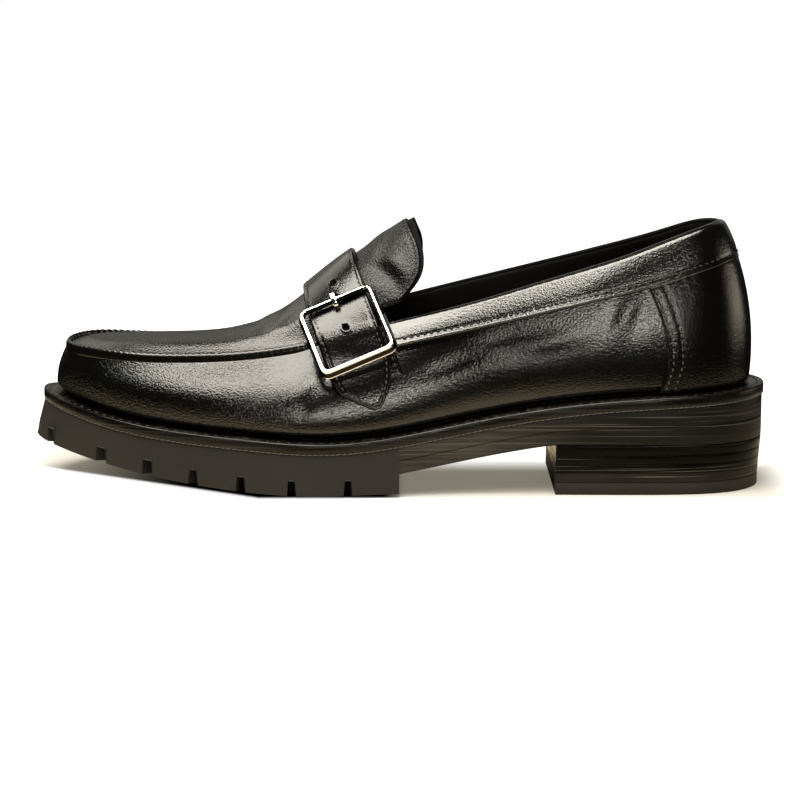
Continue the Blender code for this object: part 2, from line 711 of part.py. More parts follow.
def make_strap(material):
    """Strap over the instep: off the upper by the chape and apron, down on the wall at its inner end."""
    girth, grid = strap_grid(48, 5)
    out = normals(grid)
    out *= -1 if out[len(out) // 2, 2, 2] < 0 else 1
    settle = np.clip((girth - STRAP_SETTLES[0]) / (STRAP_SETTLES[1] - STRAP_SETTLES[0]), 0, 1)
    lift = STRAP_LIFT + (STRAP_LIFT_INNER - STRAP_LIFT) * settle ** 2 * (3 - 2 * settle)
    rise, place, reach = STRAP_BULGE
    lift = lift + rise * np.exp(-((girth - place) / reach) ** 2)
    low = grid + out * lift[..., None]
    return sheet_solid("strap", low, low + out * STRAP_THICKNESS, material)


def make_chape(material):
    across, girth = np.meshgrid(np.linspace(*CHAPE_ACROSS, 6), np.linspace(*CHAPE_GIRTH, 7), indexing="xy")
    grid = strap_ground(across, girth)
    out = normals(grid)
    out *= -1 if out[3, 3, 1] > 0 else 1
    return sheet_solid("buckle_chape", grid + out * CHAPE_LAYER[0], grid + out * CHAPE_LAYER[1], material)


def buckle_axes():
    """Centre of the buckle on the strap's face, and its directions along, across and up."""
    step = 0.02
    girth = np.array([[BUCKLE_GIRTH - step, BUCKLE_GIRTH, BUCKLE_GIRTH + step]] * 3).T
    across = np.array([[-1.0, 0.0, 1.0]] * 3)
    grid = strap_ground(across, girth)
    ends = strap_ground(np.zeros(2), np.array(BUCKLE_CHORD))
    along = ends[1] - ends[0]
    along /= np.linalg.norm(along)
    side = grid[1, 2] - grid[1, 0]
    side -= along * (side @ along)
    side /= np.linalg.norm(side)
    up = np.cross(side, along)
    centre = grid[1, 1] + up * (STRAP_LIFT + STRAP_THICKNESS)
    side, up = (side * math.cos(BUCKLE_TILT) + up * math.sin(BUCKLE_TILT),
                up * math.cos(BUCKLE_TILT) - side * math.sin(BUCKLE_TILT))
    side, along = (side * math.cos(BUCKLE_TURN) + along * math.sin(BUCKLE_TURN),
                   along * math.cos(BUCKLE_TURN) - side * math.sin(BUCKLE_TURN))
    return centre, along, side, up


def rounded_loop(long_low, long_high, wide, corner, steps=5):
    """Rounded rectangle as (along, across) points."""
    loop = []
    centres = ((long_high - corner, wide / 2 - corner), (long_high - corner, corner - wide / 2),
               (long_low + corner, corner - wide / 2), (long_low + corner, wide / 2 - corner))
    for quarter, (along, across) in enumerate(centres):
        for i in range(steps + 1):
            turn = math.pi / 2 * (1 - quarter - i / steps)
            loop.append((along + corner * math.cos(turn), across + corner * math.sin(turn)))
    return np.array(loop)


def make_buckle(material):
    """Square frame with three thick sides and a thin top bar, and the prong over that bar."""
    centre, along, side, up = buckle_axes()

    def place(s, c, n):
        return centre + np.multiply.outer(s, along) + np.multiply.outer(c, side) + np.multiply.outer(n, up)

    half = BUCKLE_LONG / 2
    outer = rounded_loop(-half, half, BUCKLE_WIDE, BUCKLE_CORNER)
    inner = rounded_loop(-half + BUCKLE_BAR, half - BUCKLE_TOP_BAR, BUCKLE_WIDE - 2 * BUCKLE_BAR,
                         BUCKLE_INNER_CORNER)
    mid = (outer + inner) / 2
    outer_face = (outer + mid) / 2
    inner_face = (inner + mid) / 2
    shoulder = BUCKLE_DEPTH - BUCKLE_ROUNDING
    rings = []
    for loop, height in ((outer, BUCKLE_ROUNDING), (outer, shoulder), (outer_face, BUCKLE_DEPTH),
                         (inner_face, BUCKLE_DEPTH), (inner, shoulder), (inner, BUCKLE_ROUNDING),
                         (inner_face, 0.0), (outer_face, 0.0)):
        rings.append(place(loop[:, 0], loop[:, 1], np.full(len(loop), BUCKLE_RISE + height)))
    rings = np.array(rings)
    index = np.arange(rings.shape[0] * rings.shape[1]).reshape(rings.shape[:2])
    nxt = np.roll(index, -1, axis=0)
    faces = np.stack([index, nxt, np.roll(nxt, -1, axis=1), np.roll(index, -1, axis=1)], -1).reshape(-1, 4)
    mesh_object("buckle_frame", rings.reshape(-1, 3), faces, material)

    top = BUCKLE_RISE + BUCKLE_DEPTH + CLEARANCE
    rings = []
    for back, share in PRONG_PATH:
        s = half - back
        n = PRONG_FOOT + (top - PRONG_FOOT) * share
        cross = np.array([(-1, 0), (1, 0), (1, 1), (-1, 1)]) * (PRONG_WIDE / 2, PRONG_THICK)
        rings.append(place(np.full(4, s), cross[:, 0], n + cross[:, 1]))
    rings = np.array(rings)
    index = np.arange(rings.size // 3).reshape(-1, 4)
    sides = np.stack([index[:-1], index[1:], np.roll(index[1:], -1, 1), np.roll(index[:-1], -1, 1)], -1)
    faces = sides.reshape(-1, 4).tolist() + [index[0].tolist(), index[-1].tolist()]
    mesh_object("buckle_prong", rings.reshape(-1, 3), faces, material)


def main():
    for item in list(bpy.data.objects):
        bpy.data.objects.remove(item, do_unlink=True)
    leather = paint("black_leather", (0.018, 0.017, 0.016), 0.42)
    edge_leather = paint("edge_leather", (0.03, 0.026, 0.022), 0.5)
    rubber = paint("charcoal_rubber", (0.05, 0.046, 0.042), 0.7)
    lining = paint("black_lining", (0.012, 0.011, 0.011), 0.6)
    steel = paint("polished_steel", (0.72, 0.72, 0.73), 0.18, 1.0)
    make_rubber(rubber)
    make_leather_sole(edge_leather)
    make_heel(edge_leather, rubber)
    make_welt(edge_leather)
    make_insole(lining)
    make_upper(leather)
    make_apron(leather)
    make_counter(leather)
    make_band(leather)
    make_tongue(leather)
    make_chape(leather)
    make_strap(leather)
    make_buckle(steel)


main()
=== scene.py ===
import math

import bmesh
import bpy
import numpy as np
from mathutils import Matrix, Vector


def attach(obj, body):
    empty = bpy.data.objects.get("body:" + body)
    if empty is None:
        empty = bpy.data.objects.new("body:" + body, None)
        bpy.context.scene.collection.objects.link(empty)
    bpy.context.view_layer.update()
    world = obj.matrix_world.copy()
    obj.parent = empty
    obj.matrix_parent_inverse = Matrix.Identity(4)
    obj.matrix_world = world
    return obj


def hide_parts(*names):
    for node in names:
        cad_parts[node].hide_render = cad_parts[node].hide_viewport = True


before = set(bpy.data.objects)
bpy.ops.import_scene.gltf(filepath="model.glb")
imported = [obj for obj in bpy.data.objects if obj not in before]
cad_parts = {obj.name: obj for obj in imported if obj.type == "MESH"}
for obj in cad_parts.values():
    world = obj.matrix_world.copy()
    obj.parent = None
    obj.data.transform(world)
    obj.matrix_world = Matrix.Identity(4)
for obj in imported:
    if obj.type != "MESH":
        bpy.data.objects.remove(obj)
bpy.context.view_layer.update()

# Rubber forefoot: a moulded unit of charcoal rubber, cemented under the welt from the toe to the waist.
# Its side flares out towards the floor, and notches on both sides cut its edge into lugs.
# All sizes are millimetres: toe at -x, heel at +x, outer side at -y. The shoe stands on z = 0.

MM = 0.001
HALF_LENGTH = 150.0
HEEL_RADIUS = 32.0
TOE_RADIUS = 28.2
SPLAY_SLOPE = math.sin(math.radians(3.0))
SPLAY_START = 30.0
CLEARANCE = 0.3
# Tread edge: distance from the back of the heel, outer and inner half width
PLAN = (
    (12, 25.0, 25.0), (30, 33.0, 33.0), (60, 36.0, 35.0), (100, 37.5, 32.5), (130, 40.0, 32.0),
    (160, 46.3, 38.0), (185, 51.0, 45.8), (210, 52.0, 50.4), (230, 50.0, 50.0), (255, 43.2, 44.7),
    (275, 33.5, 36.0), (290, 21.7, 23.5),
)
# Side view: x, height of the top of the welt
SEAT = (
    (-150, 38.2), (-120, 30.9), (-90, 26.8), (-60, 24.2), (-30, 22.2), (0, 24.4), (30, 29.9), (60, 35.2),
    (90, 38.5), (120, 40.3), (150, 42.3),
)
# How far the welt and the foot of the upper stand inside the tread edge: x, welt, upper
SETBACK = (
    (-150, 3.3, 9.0), (-110, 1.4, 7.2), (-60, 0.9, 6.6), (20, 0.5, 6.5), (90, 0.2, 6.9), (150, 0.0, 7.9),
)
WELT_THICKNESS = 4.2
TREAD_FLAT_FROM = -32.0
TOE_SPRING = 16.6
TOE_SPRING_POWER = 1.565
RUBBER_REAR = 1.0
RUBBER_TOP_SETBACK = 0.7
RUBBER_ARRIS = 0.4
# The tread's edge stands off the floor: width and rise of its camber
RUBBER_CAMBER_WIDTH = 9.0
RUBBER_CAMBER_RISE = 1.4
# Notches between the lugs: x, width at the tread, width at the top
LUG_NOTCHES = (
    (-19.3, 3.5, 2.5), (-41.7, 3.6, 2.5), (-61.9, 3.9, 2.8), (-81.0, 4.1, 2.6), (-99.8, 4.7, 3.6),
    (-119.3, 5.5, 3.8), (-142.0, 4.6, 3.4),
)
LUG_HEIGHT = 7.3
LUG_REACH = 14.0
RUBBER_COLOUR = (0.0128, 0.0115, 0.0093)


def column(table, place):
    return np.array([row[place] for row in table], float)


def spline(x, knots, values, flat_ends=False):
    """Cubic spline through the rows; with flat ends its slope is nil at both ends."""
    step = np.diff(knots)
    rise = np.diff(values) / step
    count = len(knots)
    system = np.eye(count)
    right = np.zeros(count)
    for i in range(1, count - 1):
        system[i, i - 1:i + 2] = step[i - 1], 2 * (step[i - 1] + step[i]), step[i]
        right[i] = 6 * (rise[i] - rise[i - 1])
    if flat_ends:
        system[0, :2] = 2 * step[0], step[0]
        system[-1, -2:] = step[-1], 2 * step[-1]
        right[0] = 6 * rise[0]
        right[-1] = -6 * rise[-1]
    bend = np.linalg.solve(system, right)
    x = np.clip(np.asarray(x, float), knots[0], knots[-1])
    i = np.clip(np.searchsorted(knots, x) - 1, 0, count - 2)
    u = (x - knots[i]) / step[i]
    low = 1 - u
    curve = (low ** 3 - low) * bend[i] + (u ** 3 - u) * bend[i + 1]
    return low * values[i] + u * values[i + 1] + step[i] ** 2 / 6 * curve


def curve(x, table, place):
    """Cubic spline through one column of a table over its first column."""
    return spline(x, column(table, 0), column(table, place))


def straight(x, table, place):
    """Straight lines through one column of a table over its first column."""
    return np.interp(x, column(table, 0), column(table, place))


def smooth(value, low=0.0, high=1.0):
    """Smooth step from 0 at low to 1 at high."""
    share = np.clip((value - low) / (high - low), 0, 1)
    return share ** 2 * (3 - 2 * share)


def mix(first, last, share):
    """Straight way from the first to the last."""
    return first + (last - first) * share


def unit(vector):
    """The same direction with a length of one."""
    return vector / np.maximum(np.linalg.norm(vector, axis=-1, keepdims=True), 1e-9)


def run_along(path):
    """Length from the start to each point, along the first axis of a path or a grid."""
    step = np.linalg.norm(np.diff(path, axis=0), axis=-1)
    return np.concatenate([0 * step[:1], np.cumsum(step, axis=0)])


def seat(x):
    """Height of the top of the welt."""
    return curve(x, SEAT, 1)


def tread(x):
    """Height of the tread: nil under the ball, then a power of the way to the toe."""
    share = np.clip((x - TREAD_FLAT_FROM) / (-HALF_LENGTH - TREAD_FLAT_FROM), 0, 1)
    return TOE_SPRING * share ** TOE_SPRING_POWER


def axis_y(x):
    """Middle line of the plan, splayed inwards from heel to toe."""
    return (HALF_LENGTH - SPLAY_START - x) * SPLAY_SLOPE


def width_factor(angle, x, wide, half, mid, first_radius, last_radius):
    """Half width divided by the sine of the angle, a spline through the rows and the round ends."""
    turn = np.arccos((x - mid) / half)
    order = np.argsort(turn)
    knots = np.concatenate(([0.0], turn[order], [math.pi]))
    rows = (wide / np.sin(turn))[order]
    values = np.concatenate(([math.sqrt(first_radius * half)], rows, [math.sqrt(last_radius * half)]))
    return spline(angle, knots, values, flat_ends=True)


def fold(theta):
    """Angle from the heel on either side, and whether it is the outer side."""
    theta = np.mod(theta, 2 * math.pi)
    outer = theta <= math.pi
    return np.where(outer, theta, 2 * math.pi - theta), outer


def bare_rim(theta):
    """Plan of the tread edge by angle: heel 0, outer side first, toe pi."""
    angle, outer = fold(theta)
    stations = HALF_LENGTH - column(PLAN, 0)
    ends = HALF_LENGTH, 0.0, HEEL_RADIUS, TOE_RADIUS
    first = width_factor(angle, stations, column(PLAN, 1), *ends)
    second = width_factor(angle, stations, column(PLAN, 2), *ends)
    x = HALF_LENGTH * np.cos(theta)
    return np.stack([x, axis_y(x) - np.where(outer, first, second) * np.sin(theta)], -1)


rim_samples = bare_rim(np.linspace(0, 2 * math.pi, 721))
CENTRE_Y = (rim_samples[:, 1].min() + rim_samples[:, 1].max()) / 2


def rim_normal(theta):
    """Outward normal of the plan, from a small step along it."""
    along = bare_rim(theta + 1e-3) - bare_rim(theta - 1e-3)
    out = np.stack([-along[..., 1], along[..., 0]], -1)
    return unit(out)


def rim(theta, setback):
    """Plan of the tread edge moved inwards by the setback, with the shoe's width centred on y = 0."""
    return bare_rim(theta) - np.array([0.0, CENTRE_Y]) - rim_normal(theta) * np.asarray(setback)[..., None]


def welt_setback(x):
    return straight(x, SETBACK, 1)


def quads(rows, columns, wrap=False, start=0):
    """Corners of a grid's quads; with wrap its last column joins the first."""
    index = np.arange(rows * columns).reshape(rows, columns) + start
    if wrap:
        index = np.concatenate([index, index[:, :1]], 1)
    return np.stack([index[:-1, :-1], index[:-1, 1:], index[1:, 1:], index[1:, :-1]], -1).reshape(-1, 4)


def piece(name, points, faces, materials, nodes=(), sharp=40, second=None):
    """Mesh piece from points in millimetres and arrays of faces, merged, turned outwards and set on the shoe.

    `second` gives the number of each face's material.
    """
    mesh = bpy.data.meshes.new(name)
    points = np.asarray(points, float).reshape(-1, 3) * MM
    mesh.from_pydata(points.tolist(), [], [face for group in faces for face in group.tolist()])
    for material in materials:
        mesh.materials.append(material)
    if second is not None:
        mesh.polygons.foreach_set("material_index", np.asarray(second, np.int32))
    mesh.update(calc_edges=True)
    shape = bmesh.new()
    shape.from_mesh(mesh)
    bmesh.ops.remove_doubles(shape, verts=shape.verts, dist=2e-6)
    bmesh.ops.dissolve_degenerate(shape, edges=shape.edges, dist=1e-7)
    bmesh.ops.recalc_face_normals(shape, faces=shape.faces)
    shape.to_mesh(mesh)
    shape.free()
    mesh.shade_smooth()
    mesh.set_sharp_from_angle(angle=math.radians(sharp))
    item = bpy.data.objects.new(name, mesh)
    bpy.context.scene.collection.objects.link(item)
    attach(item, "root")
    if nodes:
        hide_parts(*nodes)
    return item


def layered(rings, wrap=False):
    """Closes a stack of rings: end rings are joined across the middle line, and open ends by a flat face."""
    mirrored = [np.roll(r[::-1], 1, axis=0) if wrap else r[::-1] for r in (rings[0], rings[-1])]
    first = (rings[0] + mirrored[0]) / 2
    last = (rings[-1] + mirrored[1]) / 2
    points = np.concatenate([first[None], rings, last[None]])
    rows, columns = points.shape[:2]
    faces = [quads(rows, columns, wrap)]
    if not wrap:
        index = np.arange(rows * columns).reshape(rows, columns)
        faces.append(np.concatenate([index[:, 0], index[-2:0:-1, -1]])[None])
    return points, faces


def draw_to(rings, cut, reach=10.0):
    """Draws both open ends of each ring onto the plane x = cut, fading out over the reach."""
    rings = rings.copy()
    for end in (0, -1):
        gap = cut - rings[:, [end], 0]
        near = np.clip(1 - np.linalg.norm(rings[..., :2] - rings[:, [end], :2], axis=-1) / reach, 0, 1)
        rings[..., 0] += gap * near ** 2
    return rings


def stacked(name, rings, finish, node, sharp=35, cut=None):
    """Piece from a stack of rings, which are closed, or open and ending on the plane x = cut."""
    points, faces = layered(rings, True) if cut is None else layered(draw_to(rings, cut))
    return piece(name, points, faces, [finish], [node], sharp)


class Wire:
    """A socket in a material's nodes: sums, differences and products add Math nodes."""

    def __init__(self, tree, socket=None):
        self.tree = tree
        self.socket = socket

    def node(self, kind, settings, sockets, out=0):
        """Adds one node, sets it up, then sets or links its sockets, and gives one of its outputs."""
        made = self.tree.nodes.new(kind)
        for key, value in settings.items():
            setattr(made, key, value)
        for key, value in sockets.items():
            if isinstance(value, Wire):
                self.tree.links.new(value.socket, made.inputs[key])
            else:
                made.inputs[key].default_value = value
        return Wire(self.tree, made.outputs[out])

    def maths(self, operation, first, second):
        return self.node("ShaderNodeMath", {"operation": operation}, {0: first, 1: second})

    def __add__(self, other):
        return self.maths("ADD", self, other)

    __radd__ = __add__

    def __sub__(self, other):
        return self.maths("SUBTRACT", self, other)

    def __rsub__(self, other):
        return self.maths("SUBTRACT", other, self)

    def __mul__(self, other):
        return self.maths("MULTIPLY", self, other)

    __rmul__ = __mul__


def new_finish(name):
    """A material with its shader and a wire to add nodes with, and the piece's own coordinates."""
    material = bpy.data.materials.new(name)
    material.use_nodes = True
    shader = material.node_tree.nodes["Principled BSDF"]
    wire = Wire(material.node_tree)
    return material, shader, wire, wire.node("ShaderNodeTexCoord", {}, {}, "Object")


def feed(shader, wires):
    """Links wires to the shader, or sets its sockets."""
    for key, value in wires.items():
        if isinstance(value, Wire):
            value.tree.links.new(value.socket, shader.inputs[key])
        else:
            shader.inputs[key].default_value = value


def stretched(wire, place, scale):
    """Coordinates multiplied by a scale for each axis."""
    return wire.node("ShaderNodeMapping", {}, {"Vector": place, "Scale": scale})


def noise(wire, place, scale, detail=3.0, roughness=0.55):
    sockets = {"Vector": place, "Scale": scale, "Detail": detail, "Roughness": roughness}
    return wire.node("ShaderNodeTexNoise", {}, sockets)


def between(wire, share, first, second):
    """Mix of two colours."""
    first, second = (c if isinstance(c, Wire) else (*c, 1.0) for c in (first, second))
    sockets = {0: share, 6: first, 7: second}
    return wire.node("ShaderNodeMix", {"data_type": "RGBA"}, sockets, 2)


def times(factor, colour):
    return tuple(factor * c for c in colour)


def bumps(wire, strength, distance, height):
    """Normals of a surface that is raised by a height."""
    sockets = {"Strength": strength, "Distance": distance, "Height": height}
    return wire.node("ShaderNodeBump", {}, sockets)


def axis_of(wire, place, axis):
    return wire.node("ShaderNodeSeparateXYZ", {}, {0: place}, axis)


def ramp(wire, value, low, high, to_low=0.0, to_high=1.0):
    """Smooth step of a value between two limits."""
    settings = {"interpolation_type": "SMOOTHSTEP"}
    sockets = {"Value": value, "From Min": low, "From Max": high, "To Min": to_low, "To Max": to_high}
    return wire.node("ShaderNodeMapRange", settings, sockets)


def rubber_finish():
    """Matte charcoal rubber: fine moulding grain, faint cloudy bloom and small scuffs."""
    material, shader, wire, place = new_finish("charcoal_rubber")
    grain = noise(wire, place, 2600.0, 2.0)
    cloud = noise(wire, place, 34.0, 4.0)
    scuff = ramp(wire, noise(wire, stretched(wire, place, (60.0, 60.0, 420.0)), 1.0, 5.0, 0.7), 0.58, 0.78)
    lighter = times(2.1, RUBBER_COLOUR)
    shade = between(wire, cloud * 0.35 + scuff * 0.3, RUBBER_COLOUR, lighter)
    bump = bumps(wire, 0.5, 0.00006, grain + scuff * 0.5)
    feed(shader, {"Base Color": shade, "Roughness": cloud * 0.2 + 0.5, "Normal": bump,
                  "Specular IOR Level": 0.16})
    return material


def rubber_rings(theta, notch):
    """Rings down the flared side, round its arris and in under the camber; a notch lifts its columns."""
    bare = rim(theta, np.zeros(theta.shape))
    top = seat(bare[:, 0]) - WELT_THICKNESS - CLEARANCE
    floor = tread(bare[:, 0])
    edge = floor + np.where(notch > 0, LUG_HEIGHT, RUBBER_CAMBER_RISE)
    inwards = welt_setback(bare[:, 0]) + RUBBER_TOP_SETBACK
    rings = [(inwards + RUBBER_ARRIS, top), (inwards + 0.3 * RUBBER_ARRIS, top - 0.3 * RUBBER_ARRIS)]
    for share in np.linspace(1, 0, 10):
        z = edge + RUBBER_ARRIS + (top - edge - 2 * RUBBER_ARRIS) * share
        rise = (z - floor) / (top - floor)
        rings.append((np.interp(rise, [0, 0.35, 1], [0, 0.25, 1]) * inwards, z))
    rings.append((np.full(theta.shape, 0.3 * RUBBER_ARRIS), edge + 0.3 * RUBBER_ARRIS))
    for setback in (RUBBER_ARRIS, 5.0, RUBBER_CAMBER_WIDTH, LUG_REACH - 0.4):
        camber = RUBBER_CAMBER_RISE * max(1 - (setback - RUBBER_ARRIS) / RUBBER_CAMBER_WIDTH, 0.0)
        rings.append((np.full(theta.shape, setback), floor + np.where(notch > 0, LUG_HEIGHT, camber)))
    rings.append((np.full(theta.shape, LUG_REACH + 0.4), floor))
    flat = [np.concatenate([rim(theta, setback), z[:, None]], -1) for setback, z in rings]
    return np.array(flat)


def lug_columns():
    """Angles of the columns from the rear end on the outer side to the toe, and which ones lie in a notch.

    Columns stand evenly along the edge, except that each notch brings its own two sides.
    """
    fine = np.linspace(math.acos(RUBBER_REAR / HALF_LENGTH), math.pi, 4000)
    length = run_along(rim(fine, np.zeros(fine.shape)))
    middle = np.interp(np.arccos(column(LUG_NOTCHES, 0) / HALF_LENGTH), fine, length)
    low = column(LUG_NOTCHES, 1) / 2
    high = column(LUG_NOTCHES, 2) / 2
    even = np.linspace(0, length[-1], int(length[-1] / 2.2))
    even = even[(np.abs(even[:, None] - middle) - low).min(axis=1) > 0.9]
    offsets = np.stack([-low - 0.3, -low, -high, high, low, low + 0.3], -1)
    inside = np.array([0, 0, 1, 1, 0, 0])
    spots = np.concatenate([even, (middle[:, None] + offsets).ravel()])
    marks = np.concatenate([np.zeros(len(even)), np.tile(inside, len(middle))])
    order = np.argsort(spots)
    half = np.interp(spots[order], length, fine)
    marks = marks[order]
    return np.concatenate([half, 2 * math.pi - half[-2::-1]]), np.concatenate([marks, marks[-2::-1]])


charcoal_rubber = rubber_finish()
lug_theta, lug_marks = lug_columns()
stacked("rubber_forefoot", rubber_rings(lug_theta, lug_marks), charcoal_rubber,
        "outsole_forefoot", 28, RUBBER_REAR)


# Leather waist and seat: two boards of sole leather, edge-trimmed and waxed, from the rubber to the back.
# A fine line between the boards shows along the waist, and the seat is built up level for the heel.

LEATHER_SOLE_THICKNESS = 10.8
HEEL_TOP = 20.3
HEEL_SETBACK_TOP = 0.6
# Section of the boards: inset, share of the height, rise
BOARD_SECTION = (
    (0.6, 0, 0.0), (0.2, 0, 0.15), (0, 0, 0.6), (0, 0.25, 0), (0, 0.5, -0.35), (0.4, 0.5, -0.1),
    (0.4, 0.5, 0.1), (0, 0.5, 0.35), (0, 0.75, 0), (0, 1, -0.5), (0.3, 1, 0.0),
)
EDGE_DARK = (0.0026, 0.0022, 0.0017)
EDGE_BROWN = (0.013, 0.011, 0.008)
WAIST_PALE = (0.03, 0.085)
SCRATCH_PALE = (0.11, 0.098, 0.076)


def edge_finish(name, dark, light, streak, gloss, shine, scratch, pale=(0.0, 0.0)):
    """Waxed leather edge: long level fibres as streaks of light and dark, with fine pale scratches.

    The streaks are paler in front of the first x of `pale` and have their own shade behind the second.
    """
    material, shader, wire, place = new_finish(name)
    fibre = noise(wire, stretched(wire, place, (28.0, 28.0, 900.0)), 1.0, 5.0, 0.62)
    broad = noise(wire, stretched(wire, place, (22.0, 22.0, 160.0)), 1.0, 3.0)
    pores = noise(wire, place, 1500.0, 2.0)
    streaks = ramp(wire, fibre * 0.65 + broad * 0.45, 0.42, 0.72)
    bump = bumps(wire, streak, 0.00018, fibre + pores * 0.25)
    rough = streaks * 0.24 + (gloss - 0.04)
    share = streaks
    if pale[1]:
        along = axis_of(wire, place, "X")
        share = (streaks * 0.6 + 0.4) * ramp(wire, along, pale[0], pale[1], 1.0, 0.12)
    thin = noise(wire, stretched(wire, place, (11.0, 11.0, 1700.0)), 1.0, 2.0)
    fibres = between(wire, share, dark, light)
    shade = between(wire, ramp(wire, thin, 0.6, 0.68) * scratch, fibres, SCRATCH_PALE)
    feed(shader, {"Base Color": shade, "Roughness": rough, "Normal": bump, "Specular IOR Level": shine})
    return material


def leather_bottom(x):
    """Underside of the boards: as thick all along the waist, then level over the heel."""
    return np.minimum(seat(x) - WELT_THICKNESS - CLEARANCE - LEATHER_SOLE_THICKNESS, HEEL_TOP)


def edge_rings(theta, levels):
    """Rings of an edge: each level gives a setback and a height over x."""
    rings = []
    for setback, height in levels:
        plan = rim(theta, setback(HALF_LENGTH * np.cos(theta)))
        rings.append(np.concatenate([plan, height(plan[:, 0])[:, None]], -1))
    return np.array(rings)


def board_levels():
    """Bevelled lower edge, plain side with the line between the boards, and the hidden top."""
    top = lambda x: seat(x) - WELT_THICKNESS - CLEARANCE
    side = lambda x: welt_setback(x) + HEEL_SETBACK_TOP
    levels = []
    for inset, share, rise in BOARD_SECTION:
        setback = lambda x, inset=inset: side(x) + inset
        height = lambda x, share=share, rise=rise: mix(leather_bottom(x), top(x), share) + rise
        levels.append((setback, height))
    return levels


sole_edge = edge_finish("waxed_sole_edge", EDGE_DARK, times(3.2, EDGE_BROWN), 0.5, 0.4, 0.1, 0.35,
                        WAIST_PALE)
sole_front = RUBBER_REAR + 0.02
sole_turn = math.acos(sole_front / HALF_LENGTH)
sole_theta = np.linspace(-sole_turn, sole_turn, 361)
stacked("leather_waist_and_seat", edge_rings(sole_theta, board_levels()), sole_edge,
        "sole_leather", cut=sole_front)


# Stacked heel: four leather lifts and a rubber top lift, nailed and cemented, then trimmed as one.
# The lifts are blackened and polished, and the lowest one is left rougher and greyer.

HEEL_BREAST = 63.5
TOP_LIFT_HEIGHT = 5.0
HEEL_LIFTS = 4
HEEL_SETBACK_LOW = 1.8
LIFT_GAP = 0.2
LIFT_ROUNDING = 0.12
TOP_LIFT_ROUNDING = 0.5
LIFT_JOINT = 0.06
LIFT_GREY = (0.014, 0.012, 0.009)


def lift_levels(low, high, rounding):
    """Side of one lift between two heights, with both edges rounded."""
    slope = (HEEL_SETBACK_LOW - HEEL_SETBACK_TOP) / (HEEL_TOP - TOP_LIFT_HEIGHT)
    corner = ((0.0, rounding), (0.3 * rounding, 0.3 * rounding), (rounding, 0.0))
    levels = [(low + rise, inset) for rise, inset in corner]
    levels += [(high - rise, inset) for rise, inset in corner[::-1]]
    side = lambda z: HEEL_SETBACK_LOW - slope * max(z - TOP_LIFT_HEIGHT, 0.0)
    return [(lambda x, s=side(z) + inset: np.full(np.shape(x), s), lambda x, z=z: np.full(np.shape(x), z))
            for z, inset in levels]


heel_polish = edge_finish("polished_heel_edge", times(0.3, EDGE_DARK), times(0.3, EDGE_BROWN), 0.45, 0.24,
                          0.05, 0.5)
heel_rough = edge_finish("rough_heel_edge", times(1.6, EDGE_DARK), LIFT_GREY, 0.9, 0.5, 0.12, 0.9)
heel_turn = math.acos(HEEL_BREAST / HALF_LENGTH)
heel_theta = np.linspace(-heel_turn, heel_turn, 241)
lift_height = (HEEL_TOP - LIFT_GAP - TOP_LIFT_HEIGHT) / HEEL_LIFTS
for number in range(HEEL_LIFTS):
    lift_top = HEEL_TOP - LIFT_GAP - lift_height * number
    lift_low = lift_top - lift_height + LIFT_JOINT
    lift_rings = edge_rings(heel_theta, lift_levels(lift_low, lift_top, LIFT_ROUNDING))
    lift_finish = heel_rough if number == HEEL_LIFTS - 1 else heel_polish
    stacked(f"leather_lift_{number + 1}", lift_rings, lift_finish, f"heel_lift_{number + 1}",
            cut=HEEL_BREAST)
top_lift_rings = edge_rings(heel_theta, lift_levels(0.0, TOP_LIFT_HEIGHT, TOP_LIFT_ROUNDING))
stacked("rubber_top_lift", top_lift_rings, charcoal_rubber, "heel_top_lift",
        cut=HEEL_BREAST)


# Welt: a strip of blackened leather that runs right round the shoe, sewn through with a locked stitch.
# The stitches lie in a channel on its top, and a row of small wheel marks runs along the joint below it.

# Stitches and wheel marks: pitch, length, width, height
WELT_STITCH = (4.2, 2.0, 0.5, 0.26)
JOINT_MARK = (2.3, 2.5, 0.4, 0.3)
# Where they lie: inset from the welt's edge, drop from its top
WELT_STITCH_PLACE = (2.7, 0.25)
JOINT_MARK_PLACE = (0.35, WELT_THICKNESS + 0.1)
WAXED_COLOUR = (0.008, 0.007, 0.0055)
JOINT_COLOUR = (0.06, 0.054, 0.043)
BEAD_ROWS = 7
BEAD_SIDES = 6
# Section: inset from the welt's edge, height from its top
WELT_SECTION = (
    (8.0, -4.2), (0.5, -4.2), (0.16, -4.06), (0.0, -3.7), (0.0, -2.4), (0.0, -0.95), (0.1, -0.5),
    (0.35, -0.16), (0.8, 0.0), (1.7, 0.0), (2.2, -0.12), (2.7, -0.34), (3.2, -0.12), (3.7, 0.0), (9.0, 0.0),
    (13.0, 0.0),
)


def thread_finish(name, colour):
    """Waxed thread: a fine noise stands for its twist, in its bump, tone and roughness."""
    material, shader, wire, place = new_finish(name)
    twist = noise(wire, place, 3200.0, 1.0)
    bump = bumps(wire, 0.6, 0.00008, twist)
    lighter = times(2.0, colour)
    feed(shader, {"Base Color": between(wire, twist, colour, lighter), "Roughness": twist * 0.2 + 0.48,
                  "Normal": bump})
    return material


def on_path(places, run, path):
    """Points at given lengths along a path whose own points have the lengths `run`."""
    return np.stack([np.interp(places, run, path[:, i]) for i in range(3)], -1)


def resampled(path, pitch, near=0.3):
    """Points, directions and shares at even steps along a polyline."""
    run = run_along(path)
    places = np.arange(pitch / 2, run[-1], pitch)
    along = on_path(places + near, run, path) - on_path(places - near, run, path)
    return on_path(places, run, path), unit(along), places / run[-1]


def turned(first, second, angle):
    """Two directions square to each other, turned by an angle in their plane."""
    return (first * math.cos(angle) + second * math.sin(angle),
            second * math.cos(angle) - first * math.sin(angle))


def round_turn(count):
    return np.linspace(0, 2 * math.pi, count, endpoint=False)


